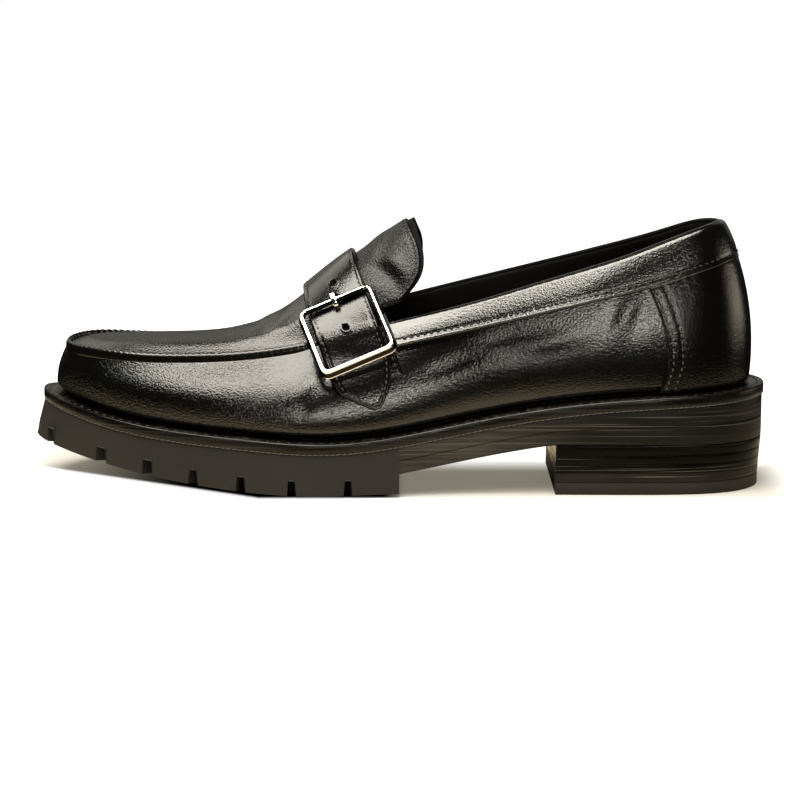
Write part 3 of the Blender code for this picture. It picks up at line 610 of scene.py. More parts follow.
def stitch_row(name, path, out, pitch, long, wide, high, material, slot="black_leather", slant=0.0):
    """Row of stitches on a path: each a bead, round across, whose ends dip into the leather.

    Along the stitch a runs from -1 to 1: the bead's radius is the root of 1 - a^2, with its middle proud.
    """
    points, along, shares = resampled(path, pitch)
    up = on_path(shares, np.linspace(0, 1, len(out)), out)
    up = unit(up - along * np.sum(up * along, axis=-1, keepdims=True))
    along, side = turned(along, np.cross(up, along), slant)
    a = np.linspace(-1, 1, BEAD_ROWS)[:, None]
    turn = round_turn(BEAD_SIDES)[None]
    radius = np.sqrt(1 - a ** 2)
    length = a * long / 2 + 0 * turn
    across = radius * np.cos(turn) * wide / 2
    height = radius * np.sin(turn) * high + (1 - a ** 2) * high * 0.5 - high * 0.35
    grid = points[:, None, None]
    for way, reach in ((along, length), (side, across), (up, height)):
        grid = grid + way[:, None, None] * reach[None, ..., None]
    starts = np.arange(len(points)) * BEAD_ROWS * BEAD_SIDES
    faces = (quads(BEAD_ROWS, BEAD_SIDES, True)[None] + starts[:, None, None]).reshape(-1, 4)
    return piece(name, grid, [faces], [material], (), 60)


def edge_line(theta, inset, drop):
    """Line on the welt: inset from its edge, and dropped from its top."""
    return edge_rings(theta, [(lambda x: welt_setback(x) + inset, lambda x: seat(x) - drop)])[0]


welt_levels = [(lambda x, d=d: welt_setback(x) + d, lambda x, h=h: seat(x) + h) for d, h in WELT_SECTION]
welt_edge = edge_finish("welt_edge", times(0.8, EDGE_DARK), times(0.4, EDGE_BROWN), 0.25, 0.2, 0.2, 0.1)
stacked("welt_strip", edge_rings(round_turn(640), welt_levels), welt_edge, "welt", 40)

row_theta = np.linspace(0, 2 * math.pi, 1400)
waxed_thread = thread_finish("waxed_thread", WAXED_COLOUR)
up_row = np.tile([[0.0, 0.0, 1.0]], (2, 1))
welt_row = edge_line(row_theta, *WELT_STITCH_PLACE)
stitch_row("welt_stitches", welt_row, up_row, *WELT_STITCH, waxed_thread, "edge_leather", 0.2)
joint_thread = thread_finish("joint_thread", JOINT_COLOUR)
joint_out = np.concatenate([rim_normal(row_theta), np.zeros((len(row_theta), 1))], -1)
joint_row = edge_line(row_theta, *JOINT_MARK_PLACE)
stitch_row("welt_joint_marks", joint_row, joint_out, *JOINT_MARK, joint_thread, "edge_leather", 0.12)


# Insole: a leather board covered with black lining, lasted inside the foot of the upper.
# Its cover rises a little at the edge, where it meets the wall.

INSOLE_SETBACK = 3.2
# Section: inset from the insole's edge, height over the welt
INSOLE_SECTION = ((0.0, 0.0), (0.0, 2.4), (0.4, 3.0), (1.6, 3.2), (6.0, 3.0), (14.0, 2.7))
LINING_COLOUR = (0.0022, 0.002, 0.0018)


def lining_finish():
    """Black lining leather: matte, with fine short creases."""
    material, shader, wire, place = new_finish("black_lining")
    nap = noise(wire, place, 900.0, 4.0)
    wear = noise(wire, place, 45.0, 3.0)
    bump = bumps(wire, 0.5, 0.0001, nap)
    lighter = times(2.4, LINING_COLOUR)
    feed(shader, {"Base Color": between(wire, wear, LINING_COLOUR, lighter), "Roughness": nap * 0.2 + 0.5,
                  "Normal": bump, "Specular IOR Level": 0.04})
    return material


def upper_setback(x):
    return curve(x, SETBACK, 2)


black_lining = lining_finish()
insole_levels = [(lambda x, d=d: upper_setback(x) + INSOLE_SETBACK + d,
                  lambda x, h=h: seat(x) + CLEARANCE + h) for d, h in INSOLE_SECTION]
insole_rings = edge_rings(round_turn(320), insole_levels)
stacked("insole_cover", insole_rings, black_lining, "insole", 40)


# Upper: the wall of vamp, quarters and toe in one length of black grained leather, lasted over the insole.
# In front its top edge is turned up into the raised seam of the apron. Inside it is lined.

TOPLINE_BACK = 131.0
TOPLINE_TOE = -136.5
TOPLINE_MID = (TOPLINE_BACK + TOPLINE_TOE) / 2
TOPLINE_HALF = (TOPLINE_BACK - TOPLINE_TOE) / 2
TOPLINE_BACK_RADIUS = 17.7
TOPLINE_TOE_RADIUS = 22.0
TOPLINE_BACK_HEIGHT = 107.6
TOPLINE_TOE_HEIGHT = 56.4
# Seam and top line: x, outer and inner half width, outer and inner height
TOPLINE = (
    (125, 14.5, 14.5, 106.8, 106.5), (109, 20.2, 20.2, 101.6, 101.4), (90, 23.2, 23.6, 94.6, 95.6),
    (60, 26.2, 27.0, 85.5, 87.2), (30, 27.2, 28.0, 76.4, 79.4), (0, 26.9, 27.8, 68.8, 71.8),
    (-37, 30.6, 31.5, 60.5, 62.0), (-60, 32.2, 33.0, 57.1, 56.9), (-80, 32.3, 33.0, 55.9, 54.3),
    (-100, 30.2, 31.1, 55.7, 54.3), (-118, 24.0, 25.6, 56.2, 55.7), (-128, 17.4, 19.4, 56.3, 56.4),
)
# Wall: x, outer and inner swell, power of its lean towards the top line
WALL = (
    (-150, 0.4, 0.4, 2.0), (-80, 2.0, 2.0, 2.4), (-50, 2.5, 2.5, 1.9), (-25, 2.8, 3.0, 1.5),
    (0, 3.0, 3.5, 1.4), (30, 2.8, 3.4, 1.6), (60, 2.3, 2.8, 2.0), (100, 1.5, 1.8, 2.4),
    (150, 1.5, 1.5, 2.5),
)
WALL_THICKNESS = 2.2
SEAM_DROP = 3.2
SEAM_FROM = -20.0
SEAM_FULL = -42.0
TUCK = 1.7
TUCK_HEIGHT = 3.6
UPPER_ROWS = 64
UPPER_COLUMNS = 560
LEATHER_COLOUR = (0.0008, 0.0007, 0.0005)
# Soft folds on each side: x, z, slope in degrees, half length, half width, depth (a ridge where negative)
OUTER_FOLDS = (
    (45.0, 63.0, 12.0, 13.0, 3.2, 0.36), (60.0, 60.0, 18.0, 12.0, 3.2, -0.26),
    (52.0, 57.0, 8.0, 15.0, 3.6, 0.26), (97.0, 72.0, 70.0, 8.0, 3.4, 0.3),
    (91.5, 73.0, 64.0, 9.0, 3.4, -0.3), (85.0, 70.0, 64.0, 8.0, 3.2, 0.24),
    (-34.0, 40.0, 60.0, 9.0, 3.0, 0.35), (-52.0, 44.0, 74.0, 8.0, 3.2, 0.25),
    (22.0, 52.0, 20.0, 12.0, 3.0, 0.3),
)
INNER_FOLDS = (
    (38.0, 60.0, 14.0, 14.0, 2.8, 0.5), (55.0, 56.0, 10.0, 12.0, 2.6, -0.35),
    (92.0, 70.0, 74.0, 9.0, 2.6, 0.4), (-30.0, 42.0, 66.0, 9.0, 3.0, 0.35),
    (-48.0, 45.0, 74.0, 8.0, 3.0, -0.25),
)


def leather_finish(name, grain, gloss, shine=0.5, calm=(1.0, 1.1, 0.0)):
    """Black grained leather: pebbles of a millimetre with finer ones between, under a thin glossy dressing.

    The height is one minus the distance to the nearest cell centre, at two sizes, bent by a slow noise.
    From the first x of `calm` to the second the pebbles lose its third value of their height.
    """
    material, shader, wire, place = new_finish(name)
    sway = wire.node("ShaderNodeTexNoise", {}, {"Vector": place, "Scale": 700.0, "Detail": 2.0}, 1)
    pull = wire.node("ShaderNodeVectorMath", {"operation": "SCALE"}, {0: sway, "Scale": 0.0006})
    bent = wire.node("ShaderNodeVectorMath", {"operation": "ADD"}, {0: place, 1: pull})
    big = wire.node("ShaderNodeTexVoronoi", {}, {"Vector": bent, "Scale": 1250.0})
    small = wire.node("ShaderNodeTexVoronoi", {}, {"Vector": bent, "Scale": 2300.0})
    slow = noise(wire, place, 26.0, 3.0)
    quiet = ramp(wire, axis_of(wire, place, "X"), calm[0], calm[1]) * calm[2]
    bump = bumps(wire, 1.0, grain * 0.0001, (1 - big * 0.95 - small * 0.4) * (1 - quiet))
    lighter = times(2.2, LEATHER_COLOUR)
    shade = between(wire, ramp(wire, big, 0.2, 0.75) * 0.4 + slow * 0.3, lighter, LEATHER_COLOUR)
    rough = slow * 0.08 + big * 0.08 + (gloss - 0.09)
    feed(shader, {"Base Color": shade, "Roughness": rough, "Normal": bump, "Specular IOR Level": shine})
    return material


def feather(theta):
    """Foot of the upper, where it stands on the welt."""
    plan = rim(theta, upper_setback(HALF_LENGTH * np.cos(theta)))
    return np.concatenate([plan, (seat(plan[..., 0]) + CLEARANCE)[..., None]], -1)


def seam_angle(x):
    """Angle at which the seam or top line stands at x."""
    return np.arccos(np.clip((x - TOPLINE_MID) / TOPLINE_HALF, -1, 1))


def topline(theta):
    """Seam of the apron in front and top line of the collar behind, as one loop."""
    angle, outer = fold(theta)
    stations = column(TOPLINE, 0)
    ends = TOPLINE_HALF, TOPLINE_MID, TOPLINE_BACK_RADIUS, TOPLINE_TOE_RADIUS
    wide = np.where(outer, width_factor(angle, stations, column(TOPLINE, 1), *ends),
                    width_factor(angle, stations, column(TOPLINE, 2), *ends))
    knots = np.concatenate(([0.0], seam_angle(stations), [math.pi]))
    rows = [np.concatenate(([TOPLINE_BACK_HEIGHT], column(TOPLINE, i), [TOPLINE_TOE_HEIGHT])) for i in (3, 4)]
    height = np.where(outer, spline(angle, knots, rows[0], True), spline(angle, knots, rows[1], True))
    x = TOPLINE_MID + TOPLINE_HALF * np.cos(theta)
    return np.stack([x, axis_y(x) - CENTRE_Y - wide * np.sin(theta), height], -1)


def wall(theta, t):
    """Wall of the upper: t = 0 at the welt, 1 at the seam or top line.

    The plan leans in by a power of t, swells out by a half wave of t ** 0.75, and the height grows with t.
    """
    x = HALF_LENGTH * np.cos(theta)
    outer = fold(theta)[1]
    swell = np.where(outer, curve(x, WALL, 1), curve(x, WALL, 2))
    share = t ** curve(x, WALL, 3)
    low = feather(theta)
    high = topline(theta)
    plan = mix(low[..., :2], high[..., :2], share[..., None])
    plan = plan + rim_normal(theta) * (swell * np.sin(math.pi * t ** 0.75))[..., None]
    return np.concatenate([plan, mix(low[..., 2], high[..., 2], t)[..., None]], -1)


def wall_frame(theta, t):
    """Wall point with its outward normal and upward direction, from small steps along both parameters."""
    small = 1e-3
    up = wall(theta, t + small) - wall(theta, np.maximum(t - small, 0))
    along = wall(theta + small, t) - wall(theta - small, t)
    return wall(theta, t), unit(np.cross(up, along)), unit(up)


def folds(x, z, table):
    """Sum of soft troughs and ridges, each a bell along and across its own line."""
    total = np.zeros(np.shape(x))
    for middle_x, middle_z, slope, long, wide, depth in table:
        along, across = turned(x - middle_x, z - middle_z, math.radians(slope))
        total -= depth * np.exp(-(along / long) ** 2 - (across / wide) ** 2)
    return total


def in_front(theta):
    """One along the apron seam, nil along the collar, and small round the tip of the toe."""
    x = TOPLINE_MID + TOPLINE_HALF * np.cos(theta)
    tip = np.exp(-((np.mod(theta, 2 * math.pi) - math.pi) / 0.45) ** 2)
    return smooth(x, SEAM_FROM, SEAM_FULL) * (1 - 0.65 * tip)


def upper_shell(columns, rows, inner_rows):
    """Outside of the wall with its folds, over the top edge, and down the lining inside."""
    theta = round_turn(columns)[None] + np.zeros((rows, 1))
    t = np.linspace(0, 1, rows)[:, None] ** 1.15 + np.zeros((1, columns))
    point, out, up = wall_frame(theta, t)
    outer = fold(theta)[1]
    x, z = point[..., 0], point[..., 2]
    relief = np.where(outer, folds(x, z, OUTER_FOLDS), folds(x, z, INNER_FOLDS))
    relief = relief * smooth(t / 0.12) * smooth((1 - t) / 0.1)
    relief = relief - TUCK * (1 - smooth((z - z[0]) / TUCK_HEIGHT))
    skin = point + out * relief[..., None]
    drop = SEAM_DROP * in_front(theta) * smooth((t - 0.4) / 0.6)
    skin[..., 2] -= drop
    edge = (skin[-1] + 0.45 * up[-1] - out[-1] * WALL_THICKNESS / 2)[None]
    pick = np.linspace(rows - 1, 0, inner_rows).astype(int)
    lining = (point - out * WALL_THICKNESS)[pick]
    lining[..., 2] -= drop[pick]
    return np.concatenate([skin, edge, lining, skin[:1]])


black_leather = leather_finish("black_leather", 1.5, 0.18, 0.5, (-0.06, -0.03, 0.66))
shell = upper_shell(UPPER_COLUMNS, UPPER_ROWS, 24)
shell_faces = quads(*shell.shape[:2], True)
shell_lined = np.arange(len(shell_faces)) >= UPPER_ROWS * UPPER_COLUMNS
piece("upper_wall", shell, [shell_faces], [black_leather, black_lining], ["upper"], 60,
      shell_lined)


# Apron: the plug over the forefoot, sewn into a raised seam that stands up round the toe.
# The seam is two leather edges held back to back by a running stitch, which pulls its crest in at each hole.

RIDGE = (
    (-136.5, 56.2), (-125, 55.8), (-110, 56.2), (-95, 57.0), (-80, 57.8), (-70, 59.0), (-60, 61.8),
    (-50, 66.3), (-40, 73.0), (-30, 81.0), (-20, 88.8), (-10, 95.8), (0, 103.2), (10, 109.0),
)
APRON_TOP = 1.7
APRON_EDGE = 1.3
APRON_DIP = 9.0
APRON_REAR = -24.0
SEAM_REAR = -27.0
# Section of the raised seam: outwards from the seam line, up from its crest
SEAM_SECTION = (
    (0.2, -5.0), (0.5, -4.6), (0.62, -3.6), (0.66, -2.6), (0.6, -1.7), (0.42, -1.05), (0.1, -0.5),
    (-0.3, -0.12), (-0.65, 0.0), (-1.0, -0.15), (-1.25, -0.6), (-1.35, -2.0), (-1.3, -5.0),
)
# Stitches of the seam: pitch, length, width, height
SEAM_STITCH = (2.7, 1.6, 0.6, 0.36)
# Where they lie: inwards from the seam line, down from its crest
SEAM_STITCH_PLACE = (1.3, 1.2)
SEAM_THREAD = (0.004, 0.0036, 0.003)
SEAM_PULL = 0.14
APRON_THICKNESS = 1.3
# Soft folds of the apron seen from above: x, y, slope in degrees, half length, half width, depth
APRON_FOLDS = (
    (-105.0, 10.0, 4.0, 26.0, 4.0, 0.35), (-85.0, -8.0, -6.0, 24.0, 4.5, 0.3),
    (-98.0, -16.0, 3.0, 22.0, 3.5, -0.2), (-52.0, -14.0, 70.0, 12.0, 3.4, 0.5),
    (-45.5, -10.0, 66.0, 13.0, 3.0, -0.4), (-60.0, 6.0, 80.0, 14.0, 4.0, 0.4),
    (-53.0, 12.0, 84.0, 12.0, 3.2, -0.3), (-43.0, -19.0, 50.0, 8.0, 2.6, 0.45),
)


def instep(x, v):
    """Vamp and tongue: v = 0 at the outer seam, 1 at the inner one, a parabola up to the ridge between."""
    angle = seam_angle(x)
    outer = topline(angle)
    inner = topline(2 * math.pi - angle)
    flat = mix(outer, inner, v[..., None])
    crown = curve(x, RIDGE, 1) - (outer[..., 2] + inner[..., 2]) / 2
    return np.stack([x, flat[..., 1], flat[..., 2] + crown * (1 - (2 * v - 1) ** 2)], -1)


def seam_crest(theta):
    """Crest of the seam: a little under the seam line on the outer side, higher round the toe and inside."""
    line = topline(theta)
    line[..., 2] += -0.3 + 1.7 * smooth((np.mod(theta, 2 * math.pi) - 2.5) / 1.0)
    return line


def seam_out(theta):
    """Plan direction square to the seam line, outwards."""
    along = topline(theta + 1e-3) - topline(theta - 1e-3)
    out = np.stack([-along[..., 1], along[..., 0], 0 * along[..., 0]], -1)
    return unit(out)


def tube(name, grid, materials, nodes, sharp, second=None):
    """Piece from a grid that wraps round, with a flat face on each end."""
    rows, columns = grid.shape[:2]
    ends = np.arange(rows * columns).reshape(rows, columns)[[0, -1]]
    return piece(name, grid, [quads(rows, columns, True), ends], materials, nodes, sharp, second)


seam_turn = seam_angle(SEAM_REAR)
seam_theta = np.linspace(seam_turn, 2 * math.pi - seam_turn, 700)
seam_line = seam_crest(seam_theta)
seam_side = seam_out(seam_theta)
seam_pull = SEAM_PULL * np.cos(2 * math.pi * run_along(seam_line) / SEAM_STITCH[0])
seam_grid = []
for reach, rise in SEAM_SECTION:
    swell = seam_pull * (1.0 if rise > -2.0 else 0.4)
    row = seam_line + seam_side * (reach * (1 + 0.25 * swell))[:, None]
    row[:, 2] += rise + swell * (rise > -0.5)
    seam_grid.append(row)
seam_leather = leather_finish("seam_leather", 0.3, 0.2)
tube("apron_seam", np.array(seam_grid).transpose(1, 0, 2), [seam_leather], (), 60)
seam_thread = thread_finish("seam_thread", SEAM_THREAD)
seam_stitch = seam_line - seam_side * SEAM_STITCH_PLACE[0]
seam_stitch[:, 2] -= SEAM_STITCH_PLACE[1]
seam_face = -seam_side + np.array([0.0, 0.0, 0.7])
stitch_row("apron_stitches", seam_stitch, seam_face, *SEAM_STITCH, seam_thread)


def apron_plan(columns, rows):
    """Stations from the throat to the toe and shares across, both a little inside the seam line."""
    angle = np.linspace(seam_angle(APRON_REAR), math.pi, rows)
    sides = []
    for turn in (angle, 2 * math.pi - angle):
        spot = topline(turn) - seam_out(turn) * APRON_EDGE
        back = seam_angle(spot[:, 0])
        near = topline(back)[:, 1]
        far = topline(2 * math.pi - back)[:, 1]
        sides.append(np.stack([spot[:, 0], (spot[:, 1] - near) / (far - near)])[..., None])
    return mix(sides[0], sides[1], np.linspace(0, 1, columns))


apron_x, apron_v = apron_plan(110, 190)
apron_grid = instep(apron_x, apron_v)
apron_flat = apron_grid[..., :2].reshape(-1, 2)
reach_squared = ((apron_flat[:, None] - seam_line[None, ::2, :2]) ** 2).sum(-1)
nearest = reach_squared.argmin(axis=1)
apron_inset = np.sqrt(reach_squared.min(axis=1)).reshape(apron_x.shape)
apron_low = (seam_line[::2, 2][nearest] - 1.6).reshape(apron_x.shape)
apron_high = apron_grid[..., 2] + APRON_TOP + folds(apron_grid[..., 0], apron_grid[..., 1], APRON_FOLDS)
apron_grid[..., 2] = mix(apron_low, apron_high, smooth((apron_inset - APRON_EDGE) / APRON_DIP))


def sheet(name, low, high, materials, nodes=(), marked=None):
    """Closed sheet between two grids of the same size.

    Its underside and edges take the last material, or only the marked quads of its face where they are given.
    """
    rows, columns = low.shape[:2]
    count = rows * columns
    index = np.arange(count).reshape(rows, columns)
    border = np.concatenate([index[0], index[1:, -1], index[-1, -2::-1], index[-2:0:-1, 0]])
    after = np.roll(border, -1)
    edge = np.stack([border, after, after + count, border + count], -1)
    faces = np.concatenate([quads(rows, columns, False, count), quads(rows, columns)[:, ::-1], edge])
    marks = np.arange(len(faces)) >= (rows - 1) * (columns - 1)
    if marked is not None:
        marks = np.zeros(len(faces), bool)
        marks[:marked.size] = marked.ravel()
    marks = marks * (len(materials) - 1)
    points = np.concatenate([low.reshape(-1, 3), high.reshape(-1, 3)])
    return piece(name, points, [faces], materials, nodes, 50, marks)


apron_leather = leather_finish("apron_leather", 1.2, 0.25)
apron_under = apron_grid - np.array([0.0, 0.0, APRON_THICKNESS])
sheet("apron_plug", apron_under, apron_grid, [apron_leather, black_lining], ["apron"])


# Heel counter: an outside stiffener of black leather round the back, cemented and sewn on over the quarters.
# Two rows of fine stitches follow each front edge, and its upper edge runs under the collar band.

COUNTER_LAYER = (0.3, 1.6)
COUNTER_FOOT = 0.015
COUNTER_REACH = HALF_LENGTH - 7.0
# Front edge: share of the wall height, x
COUNTER_EDGE = ((0.0, 100.0), (0.25, 103.5), (0.5, 104.0), (0.8, 103.2), (1.0, 102.5))
COUNTER_ROWS = (2.2, 5.9)
FINE_PITCH = 2.7
FINE_LONG = 1.6
FINE_WIDE = 0.6
FINE_HIGH = 0.3
STITCH_SINK = 0.12
FINE_THREAD = (0.03, 0.027, 0.022)
STITCH_GROOVE = 0.2
STITCH_GROOVE_WIDTH = 0.55
# Depth of the collar band below the top line: x, depth
BAND_DEPTH = ((-10, 10.6), (35, 10.8), (60, 12.0), (90, 13.5), (115, 15.2), (150, 15.4))


def crowded(count, length, edge=1.0):
    """Shares from 0 to 1 that crowd at both ends, so that a rounded edge has rows of its own."""
    turn = np.array([0.0, 0.06, 0.2, 0.42, 0.7]) * edge / length
    return np.concatenate([turn, np.linspace(edge / length, 1 - edge / length, count), 1 - turn[::-1]])


def inset_of(grid):
    """Distance of each grid point to the nearest edge of its sheet, along the grid lines."""
    down = run_along(grid)
    over = run_along(grid.swapaxes(0, 1)).T
    return np.minimum.reduce([down, down[-1:] - down, over, over[:, -1:] - over])


def rounded(inset, radius):
    """Quarter round: nil at the edge, one from the radius inwards."""
    return np.sqrt(1 - (1 - np.clip(inset / radius, 0, 1)) ** 2)


def groove(inset, rows):
    """Shallow channels along the stitch rows."""
    return sum(-STITCH_GROOVE * np.exp(-((inset - row) / STITCH_GROOVE_WIDTH) ** 2) for row in rows)


def band_foot(theta):
    """Share of the wall height where the collar band starts."""
    low, high = feather(theta), topline(theta)
    depth = curve(high[..., 0], BAND_DEPTH, 1)
    return 1 - depth / (high - low)[..., 2]


def counter_spot(span, up):
    """Angle and wall share on the counter: span from 1 at one front edge to -1 at the other."""
    edge = straight(up, COUNTER_EDGE, 1)
    theta = np.arccos(edge / COUNTER_REACH) * span
    return theta, COUNTER_FOOT + (band_foot(theta) - 0.2 * COUNTER_FOOT) * up


counter_span = 1 - 2 * crowded(150, 150.0)[:, None]
counter_up = crowded(46, 52.0)[None]
counter_theta, counter_t = counter_spot(counter_span + 0 * counter_up, counter_up + 0 * counter_span)
counter_grid, counter_out, _ = wall_frame(counter_theta, counter_t)
counter_run = run_along(counter_grid)
counter_inset = np.minimum(counter_run, counter_run[-1:] - counter_run)
counter_height = COUNTER_LAYER[1] * (0.5 + 0.5 * rounded(inset_of(counter_grid), 1.0))
counter_height = counter_height + groove(counter_inset, COUNTER_ROWS)
counter_leather = leather_finish("counter_leather", 0.7, 0.18)
sheet("heel_counter_cover", counter_grid + counter_out * COUNTER_LAYER[0],
      counter_grid + counter_out * counter_height[..., None], [counter_leather], ["heel_counter"])


def rows_at(grid, out, run, place, height):
    """Line across a grid at one distance along its columns, lifted off by a height, with its normals."""
    picks = np.array([np.interp(place, run[:, i], np.arange(len(run))) for i in range(run.shape[1])])
    low = np.clip(picks.astype(int), 0, len(run) - 2)
    part = (picks - low)[:, None]
    lane = np.arange(run.shape[1])
    normal = out[low, lane]
    return mix(grid[low, lane], grid[low + 1, lane], part) + normal * height, normal


def fine_row(name, line, out, thread, closer=0.0, shorter=0.0, wider=0.0):
    """Row of fine stitches, with changes to their pitch, length and width."""
    sizes = FINE_PITCH - closer, FINE_LONG - shorter, FINE_WIDE + wider, FINE_HIGH
    stitch_row(name, line, out, *sizes, thread)


fine_thread = thread_finish("fine_thread", FINE_THREAD)
for row_number, row_inset in enumerate(COUNTER_ROWS):
    for end_name, place in (("outer", row_inset), ("inner", -row_inset)):
        run = counter_run if end_name == "outer" else counter_run - counter_run[-1:]
        line, normal = rows_at(counter_grid, counter_out, run, place, COUNTER_LAYER[1] - STITCH_SINK)
        fine_row(f"counter_stitches_{end_name}_{row_number + 1}", line[4:-3], normal[4:-3], fine_thread)


# Collar band: a strip of the same leather along the top line, turned over the edge and down inside.
# It starts behind the buckle, runs round the back, and ends under the strap's inner side.

BAND_LAYER = (0.3, 1.7)
BAND_START = 16.4
BAND_END_FOOT = 0.76
BAND_ROLL = 2.0
BAND_INSIDE = 7.0
BAND_STITCH = 2.4
DARK_THREAD = (0.002, 0.002, 0.002)
BAND_PUFF = 0.4
BAND_BEAD = 0.3
# Rows of the section that lie inside the shoe
BAND_LINED_ROWS = 10
BAND_TILT = 1.8
BAND_TILT_ENDS = (68.0, 104.0)
STRAP_X = -29.0
STRAP_Z = 86.0
STRAP_LEAN = math.radians(22.3)


def off_strap(point):
    """Distance of a point behind the strap's leaning middle plane."""
    return (point[..., 0] - STRAP_X) * math.cos(STRAP_LEAN) + (point[..., 2] - STRAP_Z) * math.sin(STRAP_LEAN)


def plane_angle(across, t, outer):
    """Angle round the ring at which the wall meets a plane parallel to the strap."""
    angle = np.full(np.shape(t), math.pi / 2)
    for _ in range(30):
        point = wall(angle if outer else 2 * math.pi - angle, t)
        angle = angle + (off_strap(point) - across) / HALF_LENGTH
    return angle


def band_tilt(x):
    """How far the band's lower edge stands off the wall: all in front, nil at the rear."""
    return BAND_TILT * (1 - smooth(x, *BAND_TILT_ENDS))


def band_shell(columns, rows):
    """Band from its lower edge up the outside, over the top line in a half round, and down inside."""
    up = crowded(rows, 12.0, 1.1)[:, None]
    ends = mix(BAND_END_FOOT, 1, up)
    first = plane_angle(BAND_START, ends, True)
    last = -plane_angle(BAND_START, ends, False)
    theta = mix(first, last, np.linspace(0, 1, columns)[None])
    foot = band_foot(theta)
    high = topline(theta)[..., 2] - feather(theta)[..., 2]
    top = 1 - BAND_ROLL / high
    point, out, rise = wall_frame(theta, mix(foot, top, up))
    inset = (up * (top - foot)) * high
    swell = BAND_PUFF * 4 * up * (1 - up) + band_tilt(point[..., 0]) * (1 - up)
    swell = swell + BAND_BEAD * np.exp(-((inset - 0.6) / 0.4) ** 2)
    height = mix(*BAND_LAYER, 0.45 + 0.55 * rounded(inset, 1.1)) + swell
    height = height + groove(inset, (BAND_STITCH,))
    outside = point + out * height[..., None]
    turn = np.linspace(0, math.pi, 10)[1:-1, None, None]
    behind = WALL_THICKNESS + 0.5
    half = (BAND_LAYER[1] + behind) / 2
    middle = point[-1] + out[-1] * (BAND_LAYER[1] - half)
    roll = middle[None] + out[-1] * half * np.cos(turn) + rise[-1] * BAND_ROLL * np.sin(turn)
    inner = [point[-1] - out[-1] * behind - rise[-1] * BAND_INSIDE * s for s in (0, 0.3, 0.7, 1)]
    inner.append(point[-1] - out[-1] * (WALL_THICKNESS - 0.2) - rise[-1] * BAND_INSIDE)
    back = [point[-1] - rise[-1] * 0.5, point[0] + out[0] * BAND_LAYER[0]]
    return np.concatenate([outside, roll, np.array(inner), np.array(back)]), point, out, inset


band_leather = leather_finish("band_leather", 0.75, 0.2, 0.75)
band, band_ground, band_out, band_inset = band_shell(420, 26)
band_rows, band_columns = band.shape[:2]
band_inside = np.tile(np.arange(band_rows) >= band_rows - BAND_LINED_ROWS, band_columns - 1)
band_inside = np.concatenate([band_inside, [True, True]])
tube("collar_binding", band.transpose(1, 0, 2), [band_leather, black_lining],
     ["collar_band"], 50, band_inside)
band_line, band_normal = rows_at(band_ground, band_out, band_inset, BAND_STITCH, BAND_LAYER[1] + 0.4)
band_line = band_line + band_normal * 0.8 * band_tilt(band_line[:, :1])
dark_thread = thread_finish("dark_thread", DARK_THREAD)
fine_row("collar_stitches", band_line[3:-3], band_normal[3:-3], dark_thread)


# Tongue: a leather flap that carries the instep's arch on behind the strap to a free, rounded rear edge.
# A stitch row runs round that edge, and the lining under it stands out a little behind.

TONGUE_LAYER = (-0.6, 1.6)
TONGUE_FRONT = -27.0
TONGUE_SPREAD = 0.9
# Rear edge: share of the way from the ridge to the side, x
TONGUE_EDGE = ((0.0, 4.5), (0.4, 7.0), (0.68, 9.6), (0.8, 7.4), (0.9, 0.5))
TONGUE_STITCH = 1.8
TONGUE_LINING_REACH = 2.6
FAR_BELOW = (0.0, 0.0, -1e9)
# Soft folds over the tongue: x, y, slope in degrees, half length, half width, depth
TONGUE_FOLDS = (
    (-4.5, -12.0, 62.0, 7.0, 3.6, 0.5), (-4.0, -19.9, -38.0, 9.0, 1.8, 0.85),
    (0.2, -18.9, -38.0, 6.5, 1.8, -0.8), (-8.5, -21.5, -30.0, 5.0, 2.0, -0.5),
    (-7.0, -5.0, 80.0, 9.0, 4.0, -0.7), (-3.0, 12.0, 105.0, 8.0, 4.0, 0.6),
)


def grid_normals(grid, core):
    """Unit normals of a grid, from its two directions, turned away from a core."""
    out = unit(np.cross(np.gradient(grid, axis=0), np.gradient(grid, axis=1)))
    return out * np.where(np.sum(out * (grid - np.array(core)), axis=-1, keepdims=True) < 0, -1, 1)


def tongue_sheet(reach):
    """Grid of the tongue from under the strap to its rear edge, which may stand out by a reach."""
    v = np.linspace((1 - TONGUE_SPREAD) / 2, (1 + TONGUE_SPREAD) / 2, 121)
    side = np.abs(2 * v - 1)
    last = curve(side, TONGUE_EDGE, 1) + reach * (1 - 0.75 * side)
    x = mix(TONGUE_FRONT, last[None], crowded(60, 34.0)[:, None])
    grid = instep(x, np.broadcast_to(v, x.shape))
    return grid, grid_normals(grid, FAR_BELOW)


tongue_grid, tongue_out = tongue_sheet(0.0)
tongue_inset = inset_of(tongue_grid)
tongue_relief = folds(tongue_grid[..., 0], tongue_grid[..., 1], TONGUE_FOLDS) * smooth(tongue_inset / 5.0)
tongue_height = TONGUE_LAYER[1] * (0.45 + 0.55 * rounded(tongue_inset, 0.9)) + tongue_relief
tongue_height = tongue_height + groove(tongue_inset, (TONGUE_STITCH,)) * (tongue_grid[..., 0] > -14)
tongue_leather = leather_finish("tongue_leather", 1.6, 0.3, 0.28)
sheet("tongue_flap", tongue_grid + tongue_out * 0.5, tongue_grid + tongue_out * tongue_height[..., None],
      [tongue_leather], ["tongue"])
lining_grid, lining_out = tongue_sheet(TONGUE_LINING_REACH)
lining_round = 0.35 * rounded(inset_of(lining_grid), 0.8)
sheet("tongue_lining", lining_grid + lining_out * TONGUE_LAYER[0],
      lining_grid + lining_out * (0.05 + lining_round)[..., None], [black_lining])
tongue_run = run_along(tongue_grid)
